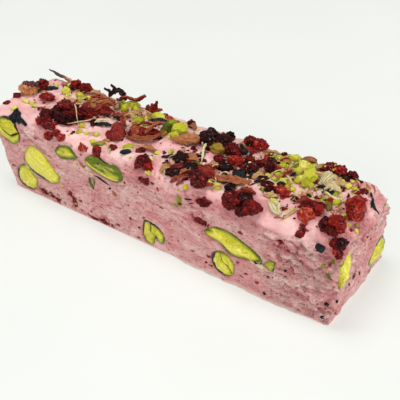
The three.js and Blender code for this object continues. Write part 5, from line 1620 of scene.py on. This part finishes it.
# Berry crumbs and small berries: x, y, length, width, height, turn, tone from black to orange-red
BERRY_BITS = [
    (-62.9, -3.4, 3.4, 2.6, 1.5, 0, 0.3), (-63.3, -7.6, 2.6, 2.4, 1.2, 20, 0.4),
    (-37.2, -13.6, 3.4, 2.6, 2.2, 20, 0.55), (-43.7, -11.1, 4.2, 1.1, 0.9, -35, 0.5),
    (-33.1, 0.2, 3, 2.4, 2, 0, 0.55), (-28, -3.2, 2.6, 2.2, 1.8, 0, 0.1),
    (-18.3, -12.3, 4.4, 3, 2, -30, 0.4), (-24, -13.2, 2.4, 2, 0.8, 10, 0.6),
    (-2.3, 12.2, 2.8, 2.4, 2.2, 0, 0.3), (38.8, -3.7, 3.8, 3, 2, 0, 0.6),
    (34.6, -3, 5.4, 2.3, 1.8, -5, 0.2), (7.8, -5.7, 4.4, 3.6, 2.6, 30, 0),
    (12.5, -7.2, 5, 3.6, 2.4, 10, 0.04), (20, -1.8, 4.2, 3.4, 2.6, 0, 0.12),
    (9.1, -10.5, 5.4, 3.4, 2.2, 20, 0.2), (14.2, -9.4, 4, 3, 2.2, 0, 0.4),
    (22.6, -5, 3.4, 2.8, 2.2, 0, 0.3), (16.6, 0.4, 3.4, 2.8, 2.2, 0, 0.5), (24.4, 3.9, 3.2, 2.6, 2, 0, 0.4),
    (29.8, 6.3, 3, 2.4, 2, 0, 0.3), (26.2, -8.4, 3.2, 2.6, 2.2, 0, 0.12), (12.4, 11.4, 3, 2.6, 2.2, 0, 0.1),
    (6.6, 10.6, 3, 2.6, 2, 0, 0.2), (45.6, -3.6, 2.4, 2, 1.6, 0, 0.6), (10.6, -1.2, 3.6, 1.4, 1.2, 40, 0.3),
    (17, -4.6, 3.4, 2.6, 2, 70, 0.65), (18.2, -7.4, 4.2, 3, 1.8, 10, 0.6),
    (50, -13.4, 2.6, 2.2, 0.8, 20, 0.4), (59.6, -5.9, 1.1, 0.9, 0.6, 0, 0.4),
    (21.1, -14, 4.2, 2.2, 0.6, 10, 0.42), (-1.9, -12.9, 2.4, 1.2, 0.8, 60, 0.4),
    (27.6, 3.6, 2.6, 2.2, 2, 0, 0.45), (-11.4, 11.2, 2.8, 2.2, 2, 0, 0.3),
    (-9.2, 10.4, 3.6, 2.4, 1.8, 160, 0.7), (44.2, 11.8, 3, 2.4, 2.2, 0, 0.35),
    (43.5, -9.7, 1.9, 1.2, 0.5, 0, 0.85), (50, 9.6, 2.8, 2.4, 1.8, 0, 0.12),
    (51.6, 4.9, 2, 1.6, 1.4, 0, 0.3), (5, -2.8, 1.8, 1.4, 1.2, 0, 0.3), (56.4, 7.4, 2.4, 2, 1.6, 0, 0.3),
]
for k, (x, y, length, width, height, turn, tone) in enumerate(BERRY_BITS):
    points, faces, masks = lobe((length, width, height), 260.1 + 1.9 * k,
                                beads=9 * (k % 3) if height > 1.2 else 0, folds=(1.6, 0.8, 0.8),
                                depth=0.25 * min(height, 1.6), level=4)
    tone -= 0.14 if 5 < x < 32 else 0
    berry_crumbs.add(laid(points, x, y, turn, 0.25 * height), faces, tone=tone, **masks)

# Crumbs of berry in the cut faces: face, u and v ranges, how many, smallest and largest size
BERRY_SPECKS = [
    ("front", -58, 60, 1.5, 24, 120, 0.3, 1.2), ("near", -14, 15, 1.5, 23, 34, 0.3, 1),
    ("back", -58, 58, 1.5, 24, 110, 0.3, 1.2), ("far", -13, 13, 1.5, 23, 26, 0.3, 1),
    ("front", 42, 60, 3, 22, 30, 0.4, 1.2), ("front", -12, 8, 10, 22, 16, 0.3, 1),
]
draw = np.random.default_rng(12)
for k, (face, u0, u1, v0, v1, count, small, large) in enumerate(BERRY_SPECKS):
    for _ in range(count):
        u, v, size = draw.uniform(u0, u1), draw.uniform(v0, v1), small + (large - small) * draw.random() ** 3
        if clear_spot(face, u, v):
            points, faces, masks = lobe((1.3 * size, size, 0.7 * size), 300.1 + 0.7 * k + u, level=2,
                                        depth=0.1 * size)
            berry_crumbs.add(pressed(points, face, u, v, draw.uniform(-40, 40), -0.16 * size), faces,
                             tone=draw.uniform(0.4, 0.8), **{**masks, "crease": 0.3 * masks["crease"]})
BERRY_DUST = [
    (5, 32, -11, 9, 180, 0.45, 2), (28, 46, -5, 10, 50, 0.4, 1.4), (-44, -28, -11, 0, 22, 0.5, 1.5),
    (-20, 2, -14, 0, 18, 0.4, 1.2), (38, 60, -14, 5, 34, 0.4, 1.4), (-60, -44, -4, 12, 14, 0.5, 1.4),
    (8, 54, 7, 13, 60, 0.5, 1.8), (-28, -4, 0, 12, 46, 0.5, 1.6), (-5, 14, -6, 4, 14, 0.4, 1.2),
]
for k, (x, y, size, draw) in enumerate(strewn(BERRY_DUST, 6)):
    detail = 3 if size > 0.8 else 2
    add_crumb(berry_crumbs, x, y, size, 340.3 + 0.7 * k, draw.uniform(0.05, 0.65), "lobe", detail,
              draw.uniform(0.25, 0.42))
berry_crumbs.make("berry_crumbs", berry_paint, "berry")

# Black flakes, seeds and shreds of dark leaf: x, y, length, width, turn
black_bits = Heap()
BLACK_FLAKES = [
    (-55.9, 5.9, 4.6, 1.9, 30), (-25, -2.2, 5.4, 2, 20), (-23.8, 2.5, 3.6, 1.6, 10),
    (-27.2, 1.6, 3, 1.4, 40), (38, 3.6, 2.4, 1, 90), (47, 2.6, 3.2, 0.5, 10), (49.4, 1.8, 3, 0.5, 20),
    (3.6, -6.2, 3.6, 1.2, 40), (31.6, -2.2, 3.6, 1.8, 60), (28.4, -1.4, 3, 1.6, 10),
    (19.4, 8.8, 3, 1.6, 30), (16.4, -8.4, 2.6, 1.4, 100), (24, -6.4, 2.8, 1.4, 60),
    (-12.8, 9.2, 3, 1.2, 20), (37.6, -1.8, 2.4, 1.2, 50), (-57.8, 2.4, 2.4, 1.2, 70),
]
for k, (x, y, length, width, turn) in enumerate(BLACK_FLAKES):
    add_leaf(black_bits, arch(x, y, length, turn, (0.3, 0.9, 0.4)), width, 0.15, ribs=2, cup=-0.3,
             thick=0.45, ragged=0.4, seed=420.3 + 1.9 * k, rows=22, across=11)
SEEDS = [
    (-10.6, 6.7, 6, 2.8, 1.9, 25), (-8, -11, 3.8, 1.6, 1.3, 25), (25.5, -2.9, 4.2, 3.8, 2.6, 0),
    (12.8, -7.8, 2.6, 2.2, 1.8, 0), (45.4, -1.3, 1.5, 1.3, 1.1, 0), (6.6, -4.4, 3, 2.4, 1.8, 50),
    (20.4, 6.4, 3, 2.2, 1.8, 20), (55.8, -13.55, 2.8, 2.2, 1, -10), (40.6, -8.6, 1.2, 0.9, 0.8, 0),
    (45, -11.9, 1.1, 0.7, 0.5, 20),
]
for k, (x, y, length, width, height, turn) in enumerate(SEEDS):
    points, faces, masks = lobe((length, width, height), 470.1 + 1.3 * k, folds=(3, 0.8, 0.8), depth=0.22,
                                level=4)
    black_bits.add(laid(points, x, y, turn, 0.3 * height), faces, tone=0, rib=masks["crease"])

# Dark flecks in the cut faces: u, v, length, height, turn
DARK_FLECKS = {
    "front": [
        (-13.3, 16.5, 1.2, 0.8, 20), (-4, 1.8, 1.4, 0.7, 0), (-3.1, 6.3, 1, 0.7, 0), (58.8, 8.3, 1.4, 1, 0),
        (57.8, 3, 1.6, 1, 20), (50.7, 1.5, 1.1, 0.7, 0), (41.5, 8.7, 1, 0.7, 0), (40.5, 2.4, 1.2, 0.8, 0),
        (46.5, 13, 1.2, 0.7, 30), (16.6, 24.2, 3, 0.5, 18), (17.6, 23.4, 2, 0.4, 30),
    ],
    "near": [
        (-3.3, 10.5, 1, 1.4, 0), (-6.5, 9.2, 0.8, 1, 0), (-14, 9.7, 0.7, 1, 0), (3, 18, 1, 0.8, 0),
        (5.6, 26.4, 2.6, 1, 75), (-7.4, 15.8, 2.4, 0.9, 60),
    ],
    "back": [(10, 10, 1.4, 0.9, 0), (-30, 4, 1.2, 0.8, 30), (36, 20, 1.4, 0.7, 0)],
    "far": [(-3, 14, 1.2, 0.8, 0)],
}
for k, (face, u, v, length, height, turn) in enumerate(by_face(DARK_FLECKS)):
    points, faces, masks = lobe((length, height, 0.6), 481.1 + 1.3 * k, folds=(1.2, 0.6, 0.6), depth=0.12,
                                level=3)
    black_bits.add(pressed(points, face, u, v, turn), faces, tone=0.1, rib=masks["crease"])
BLACK_DUST = [
    (4, 30, -11, 6, 34, 0.5, 1.6), (-30, -8, -4, 9, 16, 0.4, 1.3), (30, 52, -10, 6, 18, 0.4, 1.2),
    (-58, -30, -8, 10, 12, 0.4, 1),
]
for k, (x, y, size, draw) in enumerate(strewn(BLACK_DUST, 7)):
    add_crumb(black_bits, x, y, size, 490.3 + 0.7 * k, draw.uniform(0, 0.6), "lobe", 2, 0.22)

# Dark strands below two of the kernels, partly skin left on and partly painted shade in the gap; a slender
# flake bent over the near end's edge
SKIN_AND_SHADE_STRANDS = [
    [(-20.7, 20.2), (-18.2, 18.9), (-15.4, 18.4), (-12.6, 18.1)],
    [(36.3, 12.4), (37.6, 11.9), (39, 12.1), (40, 13.4)],
]
for k, spots in enumerate(SKIN_AND_SHADE_STRANDS):
    add_strand(black_bits, along_face("front", spots, 0.1), 0.26, 0, free=True, seed=425.1 + k)
bent = floated([(57.9, 8.5, 0.25), (59.3, 6.7, 0.3)]) + along_face("near", [(6.1, 25.6), (6.3, 23.8)], 0.25)
add_leaf(black_bits, bent, 0.95, 0.1, free=True, ribs=1, thick=0.4, ragged=0.4, seed=429.1, rows=22,
         across=11)
black_bits.make("black_flakes", leaf_paint, "dark_leaf")

# Bits of husk and torn petal: x, y, length, width, turn, tone from brown to cream, curl
husk_bits = Heap()
HUSK_BITS = [
    (-43.9, 10.6, 4.6, 2.6, 70, 0.7, 1), (-40.6, 10.9, 4, 2.2, 30, 0.55, 0.8),
    (-54, 10.6, 3.4, 2.4, 20, 0.4, -0.5), (-3.5, -6.2, 5.6, 2.4, 18, 0.32, 0.8),
    (-14.2, -11.2, 3, 1, 130, 0.9, 0.6), (12.8, 3.6, 4.6, 3.4, 15, 0.42, -0.9),
    (6.4, -11, 3.4, 2.2, 40, 0.5, 0.6), (37.3, -6.4, 4, 2, 20, 0.72, 0.4),
    (41, -10.4, 5.6, 2.8, -35, 1, 0.7), (45, 7.5, 4.4, 2.8, 20, 0.7, -0.8),
    (-20.6, 7.4, 4.6, 1.8, 40, 0.6, 0.7), (-15.6, 8.8, 4.2, 1.6, 130, 0.45, 0.8),
    (-27.6, 8, 3.8, 1.8, 15, 0.5, 0.6), (30.2, -1, 3.6, 1.8, 60, 0.6, 0.6),
    (48.8, 7, 4, 2.4, 120, 0.66, 0.8), (10.6, -4, 3.8, 2.2, 20, 0.3, 0.6),
    (16.6, -2.6, 3.4, 2, 20, 0.45, 0.6), (-36.6, 9.6, 4, 1.8, 160, 0.5, 0.9),
    (43, 9.6, 3.6, 1.6, 45, 0.62, 0.7), (22, -4.4, 3.2, 1.6, 10, 0.95, 0.3),
    (38, 11.7, 4.4, 1.8, 20, 0.22, 0.5), (27.6, 11, 4, 1.4, 15, 0.5, 0.4),
    (23, -10.4, 2.8, 1.4, 40, 0.6, 0.5), (-0.6, 10.6, 3.8, 1.8, 165, 0.2, 0.6),
]
for k, (x, y, length, width, turn, tone, curl) in enumerate(HUSK_BITS):
    add_leaf(husk_bits, arch(x, y, length, turn, (0.3, 0.9, 0.5)), width, tone, ribs=3, cup=0.6 * curl,
             thick=0.4, ragged=0.3, seed=520.3 + 1.9 * k, rows=26, across=13)

# Scraps of skin and husk in the cut faces: u, v, length, height, turn, tone
HUSK_FLECKS = {
    "front": [
        (-23.5, 21.5, 1.4, 1, 0, 0.3), (-21.4, 20.6, 2.2, 1.2, -30, 1), (-19.7, 19.5, 2, 0.9, -35, 1),
        (-23.5, 21.3, 2.6, 1.3, -30, 0.25), (-11.7, 15.3, 2.2, 1.4, -60, 0.3),
        (39.4, 11.8, 2.2, 1.6, -10, 1), (36.6, 11.7, 1.4, 0.6, -30, 1), (-50.5, 11.1, 2, 0.8, -40, 1),
        (-48.8, 9.7, 1.6, 0.7, -35, 1), (-46.3, 1.8, 1.3, 0.9, 0, 0.6), (-42.7, 2.9, 1.3, 0.9, 0, 0.7),
        (-31.4, 6.9, 1.1, 0.9, 0, 0.75), (-30.9, 3.6, 1.2, 0.9, 0, 0.7),
    ],
    "near": [(6.2, 3.4, 1.4, 0.9, 30, 0.4)],
    "back": [(-8, 12, 1.6, 1, 20, 0.9), (30, 3, 1.4, 1, 0, 0.4)],
}
for k, (face, u, v, length, height, turn, tone) in enumerate(by_face(HUSK_FLECKS)):
    points, faces, masks = lobe((length, height, 0.5), 551.1 + 1.3 * k, folds=(0.8, 0.5, 0.5), depth=0.14,
                                level=3)
    husk_bits.add(pressed(points, face, u, v, turn, 0.16), faces, tone=tone, rib=0.4 * masks["crease"])
HUSK_DUST = [
    (-30, -8, -2, 12, 50, 0.4, 1.4), (0, 38, -12, 9, 60, 0.4, 1.4), (34, 56, -4, 12, 90, 0.4, 1.5),
    (-50, -34, -4, 12, 16, 0.5, 1.5),
]
for k, (x, y, size, draw) in enumerate(strewn(HUSK_DUST, 8)):
    route = arch(x, y, 1.8 * size, degrees(draw.uniform(0, pi)), (0.3, 0.3 + 0.5 * size, 0.5))
    add_leaf(husk_bits, route, 0.8 * size, draw.uniform(0.2, 0.95), ribs=0, cup=0.2, thick=0.25, ragged=0.3,
             seed=560.3 + 0.7 * k, rows=9, across=7)
husk_bits.make("husk_bits", tan_paint, "husk")

petal_bits = Heap()
PETAL_BITS = [
    (12, -10.6, 7, 1.5, 48, 0.58), (12.2, -9.6, 6, 1.3, 44, 0.68), (13.6, -11.2, 5.4, 1.2, 52, 0.46),
    (17.2, -7, 7.4, 4.6, -28, 0.52), (14.6, -5.6, 5, 2.4, 10, 0.4), (-18, -9, 3, 1.2, 60, 0.8),
    (-33.6, -2.2, 5, 2, 40, 0.42), (-20.4, -0.4, 4.4, 1.6, 60, 0.5), (-22.6, 4.6, 5.4, 1.5, 30, 0.62),
    (-24.4, 3.6, 5, 1.2, 50, 0.5), (-5, 9.2, 4.6, 2.2, 160, 0.66), (31.4, -7.6, 4.4, 1.8, 0, 0.5),
    (21.6, 8, 4.2, 1.6, 30, 0.4), (-30.6, -2.4, 4.6, 1.8, 15, 0.36), (-47.6, -6.6, 4.4, 1.4, -10, 0.45),
    (9.6, -8.8, 5.2, 1.8, 30, 0.34), (-38, 8.6, 6, 2, 20, 0.6), (46.4, -4.6, 4.6, 1.6, 40, 0.48),
    (20.8, -11.2, 3.4, 1.4, 40, 0.46), (36.4, 3.2, 4, 1.2, 80, 0.5),
]
for k, (x, y, length, width, turn, tone) in enumerate(PETAL_BITS):
    route = arch(x, y, length, turn, (0.3, 1.1, 0.4))
    add_leaf(petal_bits, route, width, tone, ribs=4, cup=0.4 * sin(k), lean=20 * cos(2 * k), thick=0.4,
             ragged=0.35, seed=620.3 + 1.9 * k, rows=34, across=15)

# A fan of thin red folds on the front shoulder, and dark curled shreds by the husk
for k in range(6):
    root = (-25.4 + 0.6 * k, -11.9 - 0.1 * k, 0.1)
    route = [root, (-25 + 0.58 * k, -12.7, 0.25), (-24.5 + 0.5 * k, -13.5, 0.1)]
    add_leaf(petal_bits, route, 0.7, 0.5 + 0.06 * sin(2 * k), ribs=1, lean=25 * cos(k), thick=0.3,
             ragged=0.4, seed=660.3 + 1.9 * k, rows=20, across=9)
SHREDS = [
    [(46.6, 3.4, 0.6), (48.2, 2.5, 1.2), (50.2, 2.3, 0.8)],
    [(46.9, 2.8, 0.4), (48.8, 1.9, 0.9), (50.6, 1.8, 0.5)],
]
for k, route in enumerate(SHREDS):
    add_strand(petal_bits, route, 0.3, 0.05, seed=672.3 + k)
petal_bits.make("petal_shreds", petal_paint, "petal")

# Pale fibres and straws: their routes as x, y, height, their radius and tone
fibres = Heap()
FIBRES = [
    ([(-43, 2.8, 2.4), (-37, -1.6, 4.4), (-33.2, -4.6, 4.2), (-31.2, -6.6, 2.8), (-30.2, -7.6, 1.2)], 0.22,
        0.8),
    ([(-33.8, -8.6, 1.2), (-31.1, -6.5, 2.2), (-28.8, -4.5, 2.1), (-28.4, -1.4, 1.4)], 0.2, 0.8),
    ([(-27.6, -3.6, 1), (-26, -2.2, 1.9), (-24, -0.6, 1.2)], 0.3, 1),
    ([(9.3, 4.7, 0.6), (11.4, 0.6, 2), (13.2, -3.7, 0.5)], 0.42, 0.95),
    ([(8.6, 3.4, 1.4), (10, 1.6, 1.8)], 0.24, 0.8),
    ([(44.2, -13.1, 0.15), (45.8, -10.7, 0.25), (47.5, -8.1, 0.3)], 0.3, 0.62),
    ([(44.7, -13, 0.2), (46.2, -11, 0.35), (47, -9.4, 0.3)], 0.24, 0.75),
    ([(46.4, -9.6, 0.3), (48, -9.2, 0.7), (49.8, -9.2, 0.9)], 0.22, 0.85),
    ([(42.2, -12.7, 0.1), (43.4, -12.6, 0.2), (44.6, -12.5, 0.1)], 0.3, 0.2),
    ([(47.3, 1.9, 0.5), (48.6, 1.2, 0.7), (50.2, 0.6, 0.9), (52, -0.1, 0.8), (53.6, 0.5, 0.9),
        (54.5, 2, 0.9)], 0.36, 1.2),
    ([(46.2, 4.6, 0.8), (48.6, 3.6, 2), (51.2, 4, 1.6)], 0.2, 0.95),
    ([(-22.6, 3, 1), (-20, 4.8, 2.2), (-17.4, 5.6, 1)], 0.24, 0.7),
    ([(-20.6, 9.2, 1), (-16.8, 8, 2.4), (-13.4, 8.6, 1.2)], 0.26, 0.6),
    ([(-18.2, -9, 0.4), (-16, -10, 1), (-14.2, -11.8, 0.4)], 0.28, 0.85),
    ([(-26.2, -8, 0.4), (-24.4, -7.2, 0.9), (-22.6, -6.6, 0.4)], 0.26, 0.7),
    ([(-8.6, -6.6, 0.4), (-6.4, -6.8, 1), (-3.6, -6, 0.9), (-1.6, -5.2, 0.5)], 0.28, 0.5),
    ([(-9.8, -10.6, 0.5), (-7.6, -10.6, 1.2), (-5.8, -9, 0.6)], 0.2, 0.9),
    ([(17.2, -4.9, 1), (18, -3.6, 1.6), (18.6, -2.4, 1.2)], 0.22, 0.85),
    ([(18.6, -9.8, 0.5), (21, -9, 1), (23.6, -9.6, 0.5)], 0.14, 0.7),
    ([(55, 11.4, 0.3), (56.2, 10, 0.6), (57.6, 9.2, 0.4)], 0.2, 0.35),
    ([(55.6, 10.2, 0.3), (57.2, 8.6, 0.5), (58.4, 6.6, 0.4)], 0.18, 0.5),
    ([(56.4, 11.6, 0.3), (57.6, 10.8, 0.3), (58.6, 9.4, 0.3)], 0.2, 0.2),
    ([(37, 2, 1), (38.6, 0.2, 2.4), (40.8, -1, 1.2)], 0.22, 0.9),
    ([(41.6, 6.2, 1.4), (44.4, 5, 2.6), (46.2, 6.8, 1.4)], 0.22, 0.86),
    ([(32.6, 1, 0.8), (34.8, 2, 2), (36.4, 4.2, 1)], 0.2, 0.8),
    ([(-57.4, 1.6, 0.4), (-55.6, 2.6, 0.9), (-53.6, 2.4, 0.4)], 0.24, 0.3),
]
for k, (route, radius, tone) in enumerate(FIBRES):
    add_strand(fibres, route, radius, tone, seed=3.7 * k)
FIBRE_DUST = [
    (-30, -8, -2, 12, 26, 1.6, 4), (30, 56, -8, 12, 34, 1.4, 3.6), (2, 30, -13, 8, 26, 1.4, 3.6),
    (-50, -32, -8, 10, 14, 1.4, 3.4),
]
for k, (x, y, size, draw) in enumerate(strewn(FIBRE_DUST, 9)):
    angle = draw.uniform(0, pi)
    ahead = 0.5 * size * toward(angle)
    bend = 0.2 * size * draw.uniform(-1, 1)
    route = [(x - ahead[0], y - ahead[1], 0.4), (x - bend * sin(angle), y + bend * cos(angle), 1),
             (x + ahead[0], y + ahead[1], draw.uniform(0.3, 1.2))]
    add_strand(fibres, route, draw.uniform(0.09, 0.17), draw.uniform(0.2, 1), seed=90.3 + 0.7 * k, sides=5)
fibres.make("pale_fibres", tan_paint, "husk")
